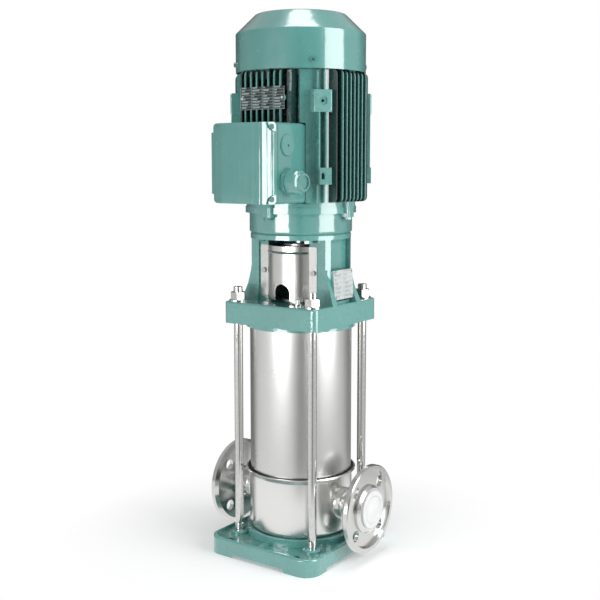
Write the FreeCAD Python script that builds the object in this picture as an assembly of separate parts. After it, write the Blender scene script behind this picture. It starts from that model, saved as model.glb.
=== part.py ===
import FreeCAD, Part
import math
import os

V = FreeCAD.Vector

# Vertical multistage in-line pump with a flanged motor on top.
# Origin: centre of the base plate's underside. +Z is up, the ports lie along X
# (suction at -X, discharge at +X) and the terminal box faces -Y.

# Clearances
BODY_GAP = 0.3
NEST_GAP = 0.1
RUN_GAP = 0.05

# How deep fused pieces reach into one another, and the small bevel on turned pieces
ROOT = 2.0
BEVEL = 1.0

# Outer sleeve: the chamber, the head and the base follow its radius
SLEEVE_R = 82.5
SLEEVE_WALL = 1.6
SLEEVE_RING_WIRE_R = 1.9
COVER_RING_WIRE_R = 1.2

# Suction and discharge chamber
CHAMBER_STEP = 1.5
CHAMBER_WALL = 2.5
CHAMBER_H = 99.0
CHAMBER_EDGE_R = 8.0
LIP_REACH = 7.5
LIP_HEIGHT = 8.5
LIP_ROLL = 3.0
SLEEVE_SEAT = 1.5
PORT_RISE = 49.5
PORT_REACH = 53.0
PORT_BORE_R = 18.5
NECK_R = 22.0
NECK_COLLAR_R = 25.5
NECK_COLLAR = 8.0
NECK_BEAD_R = 23.6
NECK_BEAD = 4.0
STUB_HUB_R = 24.2
STUB_HUB = 17.0
RAISED_FACE_R = 38.0
RAISED_FACE = 7.5
RAISED_CONE = 4.0
DRAIN_RISE = 26.0
DRAIN_R = 6.0
DRAIN_BOSS_R = 11.0
DRAIN_BOSS = 4.5
DRAIN_HEX = 17.0
DRAIN_HEAD = 7.0

# Base plate
BASE_X = 204.0
BASE_Y = 240.0
BASE_CORNER_R = 25.0
BASE_H = 28.5
BASE_EDGE_R = 3.5
FOOT_H = 5.5
FOOT_X = 50.0
FOOT_Y = 42.0
FOOT_RAMP = 4.0
POCKET_DEPTH = 4.5
POCKET_RIM = 5.0
POCKET_RIB = 7.0
SEAT_RING_WALL = 6.0
SEAT_RING_RISE = 8.5
SEAT_RECESS = 2.5
ROD_BOSS_R = 14.3
ROD_BOSS_RISE = 1.0
ROD_BOSS_BEVEL = 2.0
FOUNDATION_EDGE_X = 37.0
FOUNDATION_EDGE_Y = 12.5
FOUNDATION_HOLE_R = 6.5

# Loose flange rings and port caps
FLANGE_R = 70.0
FLANGE_WEB = 7.0
FLANGE_RIM = 8.0
FLANGE_RIM_RISE = 6.0
FLANGE_RIM_SLOPE = 2.5
FLANGE_EDGE = 1.5
FLANGE_BACK_EDGE = 5.0
FLANGE_BACK_R = 31.0
FLANGE_BACK_DEPTH = 2.0
FLANGE_PCD = 100.0
FLANGE_HOLE_R = 9.0
FLANGE_HOLES = 4
CAP_R = 30.0
CAP_THICK = 3.0
CAP_EDGE_R = 1.2
CAP_SPIGOT = 9.0
CAP_SPIGOT_WALL = 2.4

# Tie rods
ROD_R = 7.0
ROD_CLEAR = 5.0
ROD_DEPTH = 13.0
ROD_STUB = 8.5
NUT_HEX = 22.0
NUT_H = 12.0
WASHER_R = 14.0
WASHER_H = 2.5

# Pump head and motor stool
HEAD_MARGIN = 16.9
HEAD_CORNER_R = 9.0
HEAD_H = 34.5
HEAD_EDGE_R = 3.0
SKIRT_WALL = 6.0
SKIRT_H = 6.3
STOOL_R = 80.6
STOOL_H = 109.8
STOOL_RING_H = 8.9
STOOL_RING_EDGE = 2.0
SPIGOT_R = 55.0
COLUMN_HALF = 33.5
COLUMN_INNER = 40.0
COLUMN_WALL = 6.0
RIB_STEP_X = 57.0
RIB_STEP = 3.2
RIB_TOE_H = 24.0
RIB_TOE = 4.3
WEB_INNER = 62.0
RIB_FLARE_H = 54.2
RIB_FLARE_SAG = 1.5
PANEL_SILL = 4.0
LEDGE_WIDTH = 6.0
LEDGE_INSET = 1.0

# Label plate and rating plate
LABEL_WIDTH = 54.6
LABEL_RISE = 7.0
LABEL_H = 46.2
LABEL_PROUD = -1.0
LABEL_LEAN = 2.6
PLATE_THICK = 0.9
RIVET_R = 2.0
RIVET_HEAD = 1.0
RATING_HALF = 41.0
RATING_RISE = 21.0
RATING_H = 33.6
RATING_BOSS_R = 4.5
RATING_BOSS_ROOT = 10.0
RIVET_INSET = 3.5

# Coupling guards
GUARD_R = 53.0
GUARD_SHEET = 1.2
GUARD_EAR = 6.5
GUARD_FOOT = 3.5
GUARD_HEADROOM = 11.7
GUARD_BEAD = 2.2
GUARD_BEAD_PROUD = 1.6
GUARD_BEAD_DROP = 10.0
GUARD_ARCH_R = 14.2
GUARD_ARCH_H = 26.0
GUARD_SCREW_INSET = 8.0
GUARD_SCREW_RISE = 48.2
GUARD_SCREW_R = 2.5
GUARD_SCREW_HEAD_R = 4.2
GUARD_SCREW_HEAD = 2.6

# Air vent screw
VENT_X = 38.0
VENT_Y = -62.0
VENT_R = 3.3
VENT_SHANK_R = 4.0
VENT_SHANK = 20.0
VENT_H = 9.0
VENT_COLLAR_R = 7.0
VENT_COLLAR = 2.4
VENT_SLOT = 1.0
VENT_SLOT_DEPTH = 2.0
VENT_BEVEL = 0.8

# Stage stack
STAGES = 6
STAGE_PITCH = 36.0
STAGE_CLEAR = 8.9
STAGE_WALL = 1.5
STAGE_FLOOR = 2.0
STAGE_DISC_Z = 20.0
STAGE_DISC = 1.5
STAGE_HUB_WALL = 3.0
STAGE_HUB_DROP = 1.0
GUIDE_VANES = 6
GUIDE_VANE_INNER_R = 20.0
IMPELLER_CLEAR = 8.5
IMPELLER_EYE_R = 24.0
IMPELLER_EYE_WALL = 2.0
IMPELLER_Z = 6.0
IMPELLER_PASSAGE = 7.5
IMPELLER_SHROUD = 1.5
IMPELLER_HUB_R = 11.5
IMPELLER_HUB_DROP = 2.0
IMPELLER_HUB_RISE = 1.5
IMPELLER_VANES = 6
VANE_THICK = 1.8
VANE_BEND_R = 45.0
NECK_RING_WALL = 2.2
NECK_RING_LIP = 6.0
NECK_RING_LIP_H = 1.0
BOWL_INSET = 10.0
BOWL_WALL = 2.0
BOWL_FLANGE = 3.0
STRAP_WIDTH = 14.0
STRAP_THICK = 1.8
STRAP_HOOK = 4.0
STRAP_HOOK_H = 1.5

# Pump shaft, bearing and seal
SHAFT_R = 8.0
SHAFT_NUT_HEX = 22.0
SHAFT_NUT_H = 9.0
SHAFT_TAIL = 4.0
JOURNAL_R = 12.0
JOURNAL_RING_R = 17.0
JOURNAL_HOLDER_R = 20.0
JOURNAL_RISE = 2.5
COVER_H = 10.3
COVER_GROOVE = 2.8
COVER_GROOVE_DEPTH = 2.5
COVER_LEG = 8.0
COVER_LEG_H = 22.5
COVER_NECK_R = 30.0
COVER_NECK_DROP = 3.8
SEAL_BORE_R = 22.0
SEAL_STEP_R = 12.8
SEAL_STEP = 2.0
SEAL_COVER_H = 9.0
SEAL_COVER_RIM = 6.0
SEAL_COVER_HUB = 3.0
SEAL_SEAT_R = 18.0
SEAL_SEAT_H = 6.0
SEAL_RING_R = 16.0
SEAL_RING_H = 7.0
BELLOWS_R = 14.5
BELLOWS_ROOT_R = 11.0
BELLOWS_FOLDS = 4
BELLOWS_H = 20.0

# Split coupling
COUPLING_R = 29.0
COUPLING_RISE = 21.2
COUPLING_H = 72.0
COUPLING_SPLIT = 1.4
COUPLING_EDGE = 1.5
COUPLING_BOLT_X = 19.5
COUPLING_BOLT_END = 15.0
COUPLING_BOLT_R = 4.0
COUPLING_HEAD_R = 6.5
COUPLING_HEAD_SEAT = 12.0
COUPLING_HEAD_H = 8.0
COUPLING_NUT_H = 6.0
PUMP_SHAFT_GRIP = 31.0
SHAFT_JOINT_GAP = 4.0

# Motor shaft line
MOTOR_SHAFT_R = 12.0
BEARING_BORE_R = 12.5
BEARING_R = 26.0
BEARING_W = 15.0
BEARING_BALL_R = 3.5
BEARING_LAND = 2.2
BEARING_BALLS = 8
BEARING_RISE = 0.6
REAR_BEARING_DROP = 1.4
ROTOR_SEAT_R = 15.0
AIR_GAP = 0.7
STATOR_BORE_R = 45.2
STATOR_RISE = 44.0
STATOR_H = 120.0
ROTOR_OVERHANG = 2.0
WINDING_R = 66.0
WINDING_BORE_R = 50.0
WINDING_H = 26.0
FAN_SEAT_R = 9.0
FAN_CLEAR = 21.0
FAN_HUB_R = 16.0
FAN_RISE = 6.0
FAN_H = 25.0
FAN_DISC = 2.5
FAN_BLADES = 8
FAN_BLADE = 2.0

# Motor flange
FLANGE_OVERHANG = 1.6
MOTOR_NECK_H = 30.8
SHIELD_OVERHANG = 6.3
SHIELD_H = 10.6
MOTOR_FLANGE_PLATE = 11.4
MOTOR_NECK_WALL = 9.5
MOTOR_FLANGE_EDGE_R = 4.0
SPIGOT_H = 3.5
SPIGOT_WALL = 9.0
MOTOR_HUB_WALL = 10.0
MOTOR_HOLE_R = 13.5
MOTOR_BOLT_INSET = 10.0
MOTOR_BOLT_R = 4.0
MOTOR_BOLT_HEX = 13.0
MOTOR_BOLT_HEAD = 5.5
LUG_INSET = 5.0
LUG_WIDTH = 17.0
LUG_EDGE_R = 3.0
LUG_DROP = 15.0
LUG_RISE = 17.5
LUG_SCREW_INSET = 6.5
LUG_SCREW_R = 3.0
LUG_SCREW_HEX = 10.0
LUG_SCREW_HEAD = 4.0
LUG_SCREW_GRIP = 5.5
REGISTER_H = 4.0
REGISTER_WALL = 4.0

# Finned motor frame
FRAME_BORE_R = 70.0
FRAME_WALL = 8.0
FRAME_H = 207.4
FRAME_RING_H = 8.0
FRAME_RING_RISE = 9.0
FIN_TIP = 101.0
FIN_SIDE_REACH = 5.0
FIN_COUNT = 9
FIN_PITCH = 10.9
FIN_THICK = 2.6
FIN_ROOT = 60.0
FIN_END_R = 8.0
CORNER_ANGLE = 37.5
CORNER_INSET = 7.0
CORNER_NEAR = 19.0
CORNER_FAR = 30.0
RAIL_PROUD = 9.0
RAIL_HALF_PITCH = 5.5
RAIL_THICK = 2.4
FOOT_BLOCK_PROUD = 1.0
FOOT_BLOCK_HALF = 14.5
FOOT_BLOCK_EDGE_R = 2.5
FOOT_RECESS_R = 6.5
FOOT_RECESS = 2.0
FOOT_TAP_R = 2.5
FOOT_BLOCK_DROP = 64.4
FOOT_BLOCK_H = 33.5
FOOT_PAD_NEAR = 5.5
FOOT_PAD_FAR = 13.5
FOOT_PAD_RISE = 36.0
FOOT_PAD_H = 25.0
FOOT_PAD_SLOT = 5.0
FOOT_PAD_SLOT_H = 10.0
CORNER_PAD_SHIFT = 9.0
CORNER_PAD_R = 3.0
CORNER_PAD_H = 28.0
CORNER_PAD_RISE = 99.0
CORNER_PAD_PROUD = 1.5
EAR_H = 13.9
SADDLE_RISE = 8.0
SADDLE_HALF = 50.0

# Rear shield and fan cowl
REAR_PLATE = 6.6
REAR_HUB_ROOF = 3.0
COWL_PROUD = 1.5
COWL_WALL = 1.5
COWL_SEAT = 0.4
COWL_SKIRT_H = 59.6
COWL_CONE_H = 30.5
COWL_CONE_RUN = 31.5
COWL_TOP_EDGE_R = 6.0
COWL_SHOULDER_EDGE_R = 3.0
GRILLE_RINGS = 6
GRILLE_FIRST_R = 14.0
GRILLE_PITCH = 8.6
GRILLE_SLOT = 3.6
GRILLE_SPOKES = 6
GRILLE_SPOKE = 4.5
COWL_LUG_HALF = 7.0
COWL_LUG_RISE = 2.0
COWL_LUG_H = 15.0
COWL_SCREW_RISE = 12.6
COWL_SCREW_R = 2.0
COWL_SCREW_HEAD_R = 3.8
COWL_SCREW_HEAD = 3.4
COWL_SCREW_DEPTH = 8.0

# Terminal box
BOX_HALF = 58.5
BOX_H = 119.0
BOX_BACK_INSET = 17.0
BOX_PROUD = 40.0
BOX_WALL = 4.0
BOX_BACK_WALL = 6.0
BOX_EDGE_R = 6.0
BOX_CLEAR = 1.0
BOX_WIRE_HOLE_R = 13.0
BOX_WIRE_RISE = 56.0
GASKET = 1.0
LID_EAR = 4.0
LID_H = 11.0
LID_CROWN = 2.5
LID_NOTCH_R = 14.0
LID_SCREW_INSET = 7.0
LID_SCREW_R = 2.5
LID_SCREW_HEAD_R = 3.8
LID_SCREW_HEAD = 3.0
LID_SCREW_SHANK = 14.0
LID_POST_R = 6.0
ENTRY_DEPTH = 22.2
ENTRY_R = 12.0
PLUG_DROP = 33.3
PLUG_R = 16.0
PLUG_HEAD = 2.6
PLUG_DIMPLE_R = 2.0
GLAND_RISE = 32.0
GLAND_HEX = 36.0
GLAND_HEX_H = 6.5
GLAND_NECK_R = 15.5
GLAND_NUT_R = 18.5
GLAND_NUT_LENGTH = 19.0
GLAND_END_R = 13.5
GLAND_DOME = 6.5
GLAND_BORE_R = 10.0
GLAND_BUNG_DEPTH = 2.5
GLAND_BUNG_LENGTH = 16.0
BLOCK_HALF = 24.0
BLOCK_DEPTH = 14.0
BLOCK_H = 34.0
BLOCK_STUD_R = 2.5
BLOCK_STUD = 9.0

# Radii and places that follow from the sizes above, from the base up
SLEEVE_BORE_R = SLEEVE_R - SLEEVE_WALL
CHAMBER_R = SLEEVE_R + CHAMBER_STEP
CHAMBER_BORE_R = CHAMBER_R - CHAMBER_WALL
LIP_R = SLEEVE_R + LIP_REACH
SEAT_RING_R = CHAMBER_R + SEAT_RING_WALL
ROD_HALF = (LIP_R + ROD_CLEAR + ROD_R) / math.sqrt(2)
HEAD_SIDE = 2 * (ROD_HALF + HEAD_MARGIN)
FOUNDATION_X = BASE_X - 2 * FOUNDATION_EDGE_X
FOUNDATION_Y = BASE_Y - 2 * FOUNDATION_EDGE_Y
POCKET_CORNER_R = BASE_CORNER_R - POCKET_RIM + BEVEL
SEAT_RING_TOP = BASE_H + SEAT_RING_RISE
CHAMBER_BOTTOM = SEAT_RING_TOP - SEAT_RECESS
CHAMBER_LIP_Z = CHAMBER_BOTTOM + CHAMBER_H
PORT_Z = CHAMBER_BOTTOM + PORT_RISE
DRAIN_Z = CHAMBER_BOTTOM + DRAIN_RISE
PORT_FACE_X = CHAMBER_R + PORT_REACH
COLLAR_BACK_X = PORT_FACE_X - RAISED_FACE
FLANGE_FRONT_X = COLLAR_BACK_X - BODY_GAP
FLANGE_BORE_R = STUB_HUB_R + BODY_GAP
SLEEVE_BOTTOM = CHAMBER_LIP_Z - LIP_HEIGHT
STAGE_R = SLEEVE_BORE_R - STAGE_CLEAR
BOWL_R = STAGE_R - BOWL_INSET
IMPELLER_R = STAGE_R - STAGE_WALL - IMPELLER_CLEAR
STACK_BOTTOM = SLEEVE_BOTTOM
STACK_TOP = STACK_BOTTOM + STAGES * STAGE_PITCH
HUB_BOTTOM = IMPELLER_Z - IMPELLER_HUB_DROP
HUB_TOP = IMPELLER_Z + 2 * IMPELLER_SHROUD + IMPELLER_PASSAGE + IMPELLER_HUB_RISE
FIRST_HUB_Z = STACK_BOTTOM + HUB_BOTTOM
LAST_HUB_TOP = STACK_BOTTOM + (STAGES - 1) * STAGE_PITCH + HUB_TOP
COVER_BOTTOM = STACK_TOP + COVER_LEG_H
COVER_STEP_Z = COVER_BOTTOM + SEAL_STEP
JOURNAL_RING_Z = STACK_TOP + JOURNAL_RISE
HEAD_BOTTOM = COVER_BOTTOM + COVER_H
SLEEVE_TOP = HEAD_BOTTOM - NEST_GAP
SKIRT_R = SLEEVE_R + SKIRT_WALL
SKIRT_BOTTOM = HEAD_BOTTOM - SKIRT_H
HEAD_TOP = HEAD_BOTTOM + HEAD_H
COVER_NECK_TOP = HEAD_TOP - COVER_NECK_DROP
SEAL_COVER_TOP = COVER_NECK_TOP + SEAL_COVER_H
SEAL_FACE_Z = COVER_NECK_TOP - SEAL_SEAT_H
SEAL_RING_Z = SEAL_FACE_Z - RUN_GAP - SEAL_RING_H
BELLOWS_Z = SEAL_RING_Z - BELLOWS_H
WASHER_TOP = HEAD_TOP + WASHER_H
NUT_TOP = WASHER_TOP + NUT_H
STOOL_TOP = HEAD_TOP + STOOL_H
STOOL_RING_Z = STOOL_TOP - STOOL_RING_H
WEB_OUTER = WEB_INNER + COLUMN_WALL
RIB_FLARE_Z = HEAD_TOP + RIB_FLARE_H
RIB_FOOT_X = HEAD_SIDE / 2
RIB_HALF = COLUMN_HALF + RIB_STEP
RIB_TOE_HALF = RIB_HALF + RIB_TOE
LABEL_BOTTOM_Z = HEAD_TOP + LABEL_RISE
LABEL_TOP_Z = LABEL_BOTTOM_Z + LABEL_H
LABEL_TOP_X = STOOL_R + LABEL_PROUD
LABEL_BOTTOM_X = LABEL_TOP_X + LABEL_LEAN
GUARD_BOTTOM = HEAD_TOP + GUARD_FOOT
GUARD_TOP = STOOL_RING_Z - GUARD_HEADROOM
GUARD_BEAD_Z = GUARD_TOP - GUARD_BEAD_DROP
GUARD_SCREW_X = COLUMN_INNER + GUARD_SCREW_INSET
GUARD_EAR_X = GUARD_SCREW_X + GUARD_EAR
GUARD_SCREW_Z = HEAD_TOP + GUARD_SCREW_RISE
COUPLING_BOTTOM = HEAD_TOP + COUPLING_RISE
COUPLING_TOP = COUPLING_BOTTOM + COUPLING_H
SHAFT_JOINT_Z = COUPLING_BOTTOM + PUMP_SHAFT_GRIP
FLANGE_RING_R = STOOL_R + FLANGE_OVERHANG
SHIELD_R = FLANGE_RING_R + SHIELD_OVERHANG
MOTOR_BOLT_RADIUS = SPIGOT_R + MOTOR_BOLT_INSET
MOTOR_HUB_R = BEARING_R + MOTOR_HUB_WALL
MOTOR_NECK_TOP = STOOL_TOP + MOTOR_NECK_H
SHIELD_TOP = MOTOR_NECK_TOP + SHIELD_H
DRIVE_BEARING_Z = MOTOR_NECK_TOP + BEARING_RISE - BEARING_W
BEARING_BALL_PITCH_R = (BEARING_R + BEARING_BORE_R) / 2
LUG_R = FIN_TIP - LUG_INSET
LUG_SCREW_RADIUS = LUG_R - LUG_SCREW_INSET
LUG_BOTTOM = SHIELD_TOP - LUG_DROP
LUG_TOP = SHIELD_TOP + LUG_RISE
FRAME_CORE_R = FRAME_BORE_R + FRAME_WALL
FRAME_RING_R = FRAME_CORE_R + FRAME_RING_RISE
FRAME_TOP = SHIELD_TOP + FRAME_H
FIN_ENVELOPE_R = FIN_TIP + FIN_SIDE_REACH
CORNER_R = FIN_TIP - CORNER_INSET
RAIL_R = FIN_TIP + RAIL_PROUD
FOOT_BLOCK_R = RAIL_R + FOOT_BLOCK_PROUD
FOOT_BLOCK_Z = FRAME_TOP - FOOT_BLOCK_DROP
FOOT_PAD_Z = SHIELD_TOP + FOOT_PAD_RISE
EAR_BOTTOM = FRAME_TOP - EAR_H
SADDLE_R = FRAME_CORE_R + SADDLE_RISE
ROTOR_R = STATOR_BORE_R - AIR_GAP
STATOR_Z = SHIELD_TOP + STATOR_RISE
ROTOR_Z = STATOR_Z - ROTOR_OVERHANG
ROTOR_H = STATOR_H + 2 * ROTOR_OVERHANG
REAR_BEARING_Z = FRAME_TOP - REAR_BEARING_DROP
REAR_HUB_TOP = REAR_BEARING_Z + BEARING_W + REAR_HUB_ROOF
REAR_SHIELD_R = FRAME_RING_R + BEVEL
REAR_HUB_R = BEARING_R + MOTOR_HUB_WALL
COWL_R = FIN_TIP + COWL_PROUD
COWL_BORE_R = COWL_R - COWL_WALL
COWL_TOP_R = COWL_R - COWL_CONE_RUN
COWL_BOTTOM = FRAME_TOP + COWL_SEAT
COWL_SHOULDER = COWL_BOTTOM + COWL_SKIRT_H
COWL_TOP = COWL_SHOULDER + COWL_CONE_H
COWL_SCREW_Z = FRAME_TOP + COWL_SCREW_RISE
FAN_R = COWL_BORE_R - FAN_CLEAR
FAN_Z = REAR_HUB_TOP + FAN_RISE
BOX_BOTTOM = SHIELD_TOP + FRAME_RING_H
BOX_TOP = BOX_BOTTOM + BOX_H
BOX_BACK = SADDLE_R - BOX_BACK_INSET
BOX_FRONT = FIN_TIP + BOX_PROUD
BOX_WIRE_Z = BOX_BOTTOM + BOX_WIRE_RISE
LID_BACK = BOX_FRONT + GASKET
LID_EAR_FACE = LID_BACK + LID_EAR
LID_FACE = LID_BACK + LID_H
ENTRY_Y = BOX_FRONT - ENTRY_DEPTH
PLUG_Z = BOX_TOP - PLUG_DROP
GLAND_Z = BOX_BOTTOM + GLAND_RISE
GLAND_END_X = BOX_HALF + GLAND_HEX_H + NEST_GAP + GLAND_NUT_LENGTH + GLAND_DOME
RATING_Z = BOX_TOP + RATING_RISE
QUARTERS = (0.0, 90.0, 180.0, 270.0)
DIAGONALS = (45.0, 135.0, 225.0, 315.0)


# Shape helpers
def disc(radius, low, high, x=0.0, y=0.0):
    """Upright cylinder between two heights."""
    return Part.makeCylinder(radius, high - low, V(x, y, low))


def tube(outer, inner, low, high, x=0.0, y=0.0):
    """Upright tube between two heights."""
    return disc(outer, low, high, x, y).cut(disc(inner, low, high, x, y))


def rod_x(radius, x0, x1, y, z):
    """Cylinder along X."""
    return Part.makeCylinder(radius, x1 - x0, V(x0, y, z), V(1, 0, 0))


def rod_y(radius, y0, y1, x, z):
    """Cylinder along Y."""
    return Part.makeCylinder(radius, y1 - y0, V(x, y0, z), V(0, 1, 0))


def block(x0, x1, y0, y1, z0, z1):
    """Box between two corners."""
    return Part.makeBox(x1 - x0, y1 - y0, z1 - z0, V(x0, y0, z0))


def turned(profile):
    """Solid turned about Z from a closed (radius, height) profile."""
    points = [V(r, 0, z) for r, z in profile]
    face = Part.Face(Part.makePolygon(points + points[:1]))
    return face.revolve(V(0, 0, 0), V(0, 0, 1), 360)


def turned_x(profile, height, y=0.0):
    """Solid turned about a line along X from a closed (x, radius) profile."""
    points = [V(x, y, height + r) for x, r in profile]
    face = Part.Face(Part.makePolygon(points + points[:1]))
    return face.revolve(V(0, y, height), V(1, 0, 0), 360)


def spun(shape, angle):
    """Copy of a shape turned about Z."""
    copy = shape.copy()
    copy.rotate(V(0, 0, 0), V(0, 0, 1), angle)
    return copy


def at_angles(shape, angles):
    """Copies of a shape turned about Z, one per angle."""
    return [spun(shape, angle) for angle in angles]


def rounded_block(width, depth, corner, low, high):
    """Upright block centred on Z with round corners."""
    body = block(-width / 2, width / 2, -depth / 2, depth / 2, low, high)
    upright = [e for e in body.Edges if e.BoundBox.ZLength > (high - low) / 2]
    return body.makeFillet(corner, upright)


def level_edges(shape, height, reach=0.0):
    """Edges lying at one height, reaching at least so far from Z."""
    found = []
    for edge in shape.Edges:
        box = edge.BoundBox
        if abs(box.ZMin - height) > 1e-4 or abs(box.ZMax - height) > 1e-4:
            continue
        if max(abs(box.XMin), abs(box.XMax), abs(box.YMin), abs(box.YMax)) >= reach:
            found.append(edge)
    return found


def hexagon(across_flats, low, high):
    """Upright hexagonal prism on Z, its corners cut back by a cone."""
    corner = across_flats / math.sqrt(3)
    points = [V(corner * math.cos(math.radians(a)), corner * math.sin(math.radians(a)), low)
              for a in range(0, 420, 60)]
    prism = Part.Face(Part.makePolygon(points)).extrude(V(0, 0, high - low))
    bevel = (corner - across_flats / 2) * 0.6
    guard = turned([(0, low), (corner - bevel, low), (corner, low + bevel), (corner, high - bevel),
                    (corner - bevel, high), (0, high)])
    return prism.common(guard)


def moved(shape, x, y, z=0.0):
    """Copy of a shape shifted to a place."""
    copy = shape.copy()
    copy.translate(V(x, y, z))
    return copy


def along_x(shape, y, z):
    """Upright shape on Z laid along +X at a height."""
    copy = shape.copy()
    copy.rotate(V(0, 0, 0), V(0, 1, 0), 90)
    copy.translate(V(0, y, z))
    return copy


def along_y(shape, x, z, sign=1):
    """Upright shape on Z laid along +Y or -Y."""
    copy = shape.copy()
    copy.rotate(V(0, 0, 0), V(1, 0, 0), -90 * sign)
    copy.translate(V(x, 0, z))
    return copy


def rod_places():
    """Centres of the four tie rods."""
    return [(sx * ROD_HALF, sy * ROD_HALF) for sx in (-1, 1) for sy in (-1, 1)]


def mirrored_x(shape):
    """Copy of a shape on the other side of the YZ plane."""
    return shape.mirror(V(0, 0, 0), V(1, 0, 0))


def mirrored_y(shape):
    """Copy of a shape on the other side of the XZ plane."""
    return shape.mirror(V(0, 0, 0), V(0, 1, 0))


def group(shapes):
    """Several separate solids kept in one node."""
    return Part.makeCompound(shapes)


# Base and chamber
def foot_relief():
    """Cross-shaped space under the base plate, with sloping ends, between its four feet."""
    half_x = BASE_X / 2 - FOOT_X
    half_y = BASE_Y / 2 - FOOT_Y
    cuts = []
    for half, reach, turn in ((half_x, BASE_Y, 0), (half_y, BASE_X, 90)):
        low = [V(-half, -reach, 0), V(half, -reach, 0), V(half - FOOT_RAMP, -reach, FOOT_H),
               V(FOOT_RAMP - half, -reach, FOOT_H)]
        prism = Part.Face(Part.makePolygon(low + low[:1])).extrude(V(0, 2 * reach, 0))
        cuts.append(spun(prism, turn))
    return cuts[0].fuse(cuts[1])


def base_plate():
    """Cast base: plate with shallow pockets, seat ring, rod bosses and four feet."""
    plate = rounded_block(BASE_X, BASE_Y, BASE_CORNER_R, 0, BASE_H)
    plate = plate.makeFillet(BASE_EDGE_R, level_edges(plate, BASE_H))
    floor = BASE_H - POCKET_DEPTH
    pocket = rounded_block(BASE_X - 2 * POCKET_RIM, BASE_Y - 2 * POCKET_RIM,
                           POCKET_CORNER_R, floor, BASE_H + POCKET_DEPTH)
    pocket = pocket.cut(disc(SEAT_RING_R, floor, SEAT_RING_TOP))
    pocket = pocket.cut(block(-POCKET_RIB / 2, POCKET_RIB / 2, -BASE_Y, BASE_Y, floor, BASE_H))
    boss = turned([(0, floor), (ROD_BOSS_R, floor), (ROD_BOSS_R, BASE_H + ROD_BOSS_RISE - ROD_BOSS_BEVEL),
                   (ROD_BOSS_R - ROD_BOSS_BEVEL, BASE_H + ROD_BOSS_RISE), (0, BASE_H + ROD_BOSS_RISE)])
    bosses = [moved(boss, x, y) for x, y in rod_places()]
    ring = turned([(0, floor), (SEAT_RING_R, floor), (SEAT_RING_R, SEAT_RING_TOP - BEVEL),
                   (SEAT_RING_R - BEVEL, SEAT_RING_TOP), (0, SEAT_RING_TOP)])
    body = plate.cut(pocket).fuse([ring] + bosses)
    cuts = [disc(CHAMBER_R + NEST_GAP, CHAMBER_BOTTOM, SEAT_RING_TOP), foot_relief()]
    for x, y in rod_places():
        cuts.append(disc(ROD_R + NEST_GAP, BASE_H - ROD_DEPTH, SEAT_RING_TOP, x, y))
    for sx in (-1, 1):
        for sy in (-1, 1):
            cuts.append(disc(FOUNDATION_HOLE_R, 0, BASE_H, sx * FOUNDATION_X / 2, sy * FOUNDATION_Y / 2))
    return body.cut(cuts).removeSplitter()


def neck():
    """Discharge neck with its collar, bead, hub and stub end, welded on the chamber's wall."""
    root = CHAMBER_BORE_R - ROOT
    collar_end = CHAMBER_R + NECK_COLLAR
    bead_start = collar_end + NECK_BEAD
    hub_start = COLLAR_BACK_X - STUB_HUB
    profile = [(root, 0), (root, NECK_COLLAR_R), (collar_end - 2 * BEVEL, NECK_COLLAR_R),
               (collar_end, NECK_R), (bead_start, NECK_R), (bead_start + BEVEL, NECK_BEAD_R),
               (bead_start + NECK_BEAD - BEVEL, NECK_BEAD_R), (bead_start + NECK_BEAD, NECK_R),
               (hub_start, NECK_R), (hub_start + 2 * BEVEL, STUB_HUB_R), (COLLAR_BACK_X, STUB_HUB_R),
               (COLLAR_BACK_X, RAISED_FACE_R), (PORT_FACE_X - RAISED_CONE, RAISED_FACE_R),
               (PORT_FACE_X, RAISED_FACE_R - RAISED_CONE), (PORT_FACE_X, 0)]
    tail = disc(CHAMBER_R, PORT_Z - NECK_COLLAR_R - ROOT, PORT_Z + NECK_COLLAR_R + ROOT)
    bore = rod_x(PORT_BORE_R, 0, PORT_FACE_X, 0, PORT_Z)
    return turned_x(profile, PORT_Z).cut([tail, bore])


def port_necks():
    """Discharge neck and suction neck."""
    return group([neck(), mirrored_x(neck())])


def port_chamber():
    """Pressed chamber with a rolled lip, two port holes and a drain boss."""
    inner = CHAMBER_BORE_R
    lip_inner = LIP_R - LIP_ROLL
    floor = CHAMBER_BOTTOM + CHAMBER_WALL
    seat = SLEEVE_BOTTOM
    outer = turned([(0, CHAMBER_BOTTOM), (CHAMBER_R, CHAMBER_BOTTOM), (CHAMBER_R, seat),
                    (LIP_R - BEVEL, CHAMBER_LIP_Z - LIP_ROLL), (LIP_R, CHAMBER_LIP_Z - LIP_ROLL / 2),
                    (LIP_R - BEVEL, CHAMBER_LIP_Z), (0, CHAMBER_LIP_Z)])
    outer = outer.makeFillet(CHAMBER_EDGE_R, level_edges(outer, CHAMBER_BOTTOM, CHAMBER_R - 1.0))
    cavity = turned([(0, floor), (inner, floor), (inner, seat), (SLEEVE_R + NEST_GAP, seat),
                     (SLEEVE_R + NEST_GAP, seat + SLEEVE_SEAT), (lip_inner, CHAMBER_LIP_Z - LIP_ROLL),
                     (lip_inner, CHAMBER_LIP_Z), (0, CHAMBER_LIP_Z)])
    cavity = cavity.makeFillet(CHAMBER_EDGE_R - CHAMBER_WALL, level_edges(cavity, floor, inner - 1.0))
    boss = rod_y(DRAIN_BOSS_R, inner - ROOT, CHAMBER_R + DRAIN_BOSS, 0, DRAIN_Z)
    shell = outer.fuse(boss).cut(cavity)
    bores = [rod_x(PORT_BORE_R, -CHAMBER_R, CHAMBER_R, 0, PORT_Z),
             rod_y(DRAIN_R + NEST_GAP, 0, CHAMBER_R + 2 * DRAIN_BOSS, 0, DRAIN_Z)]
    return shell.cut(bores).removeSplitter()


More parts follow.
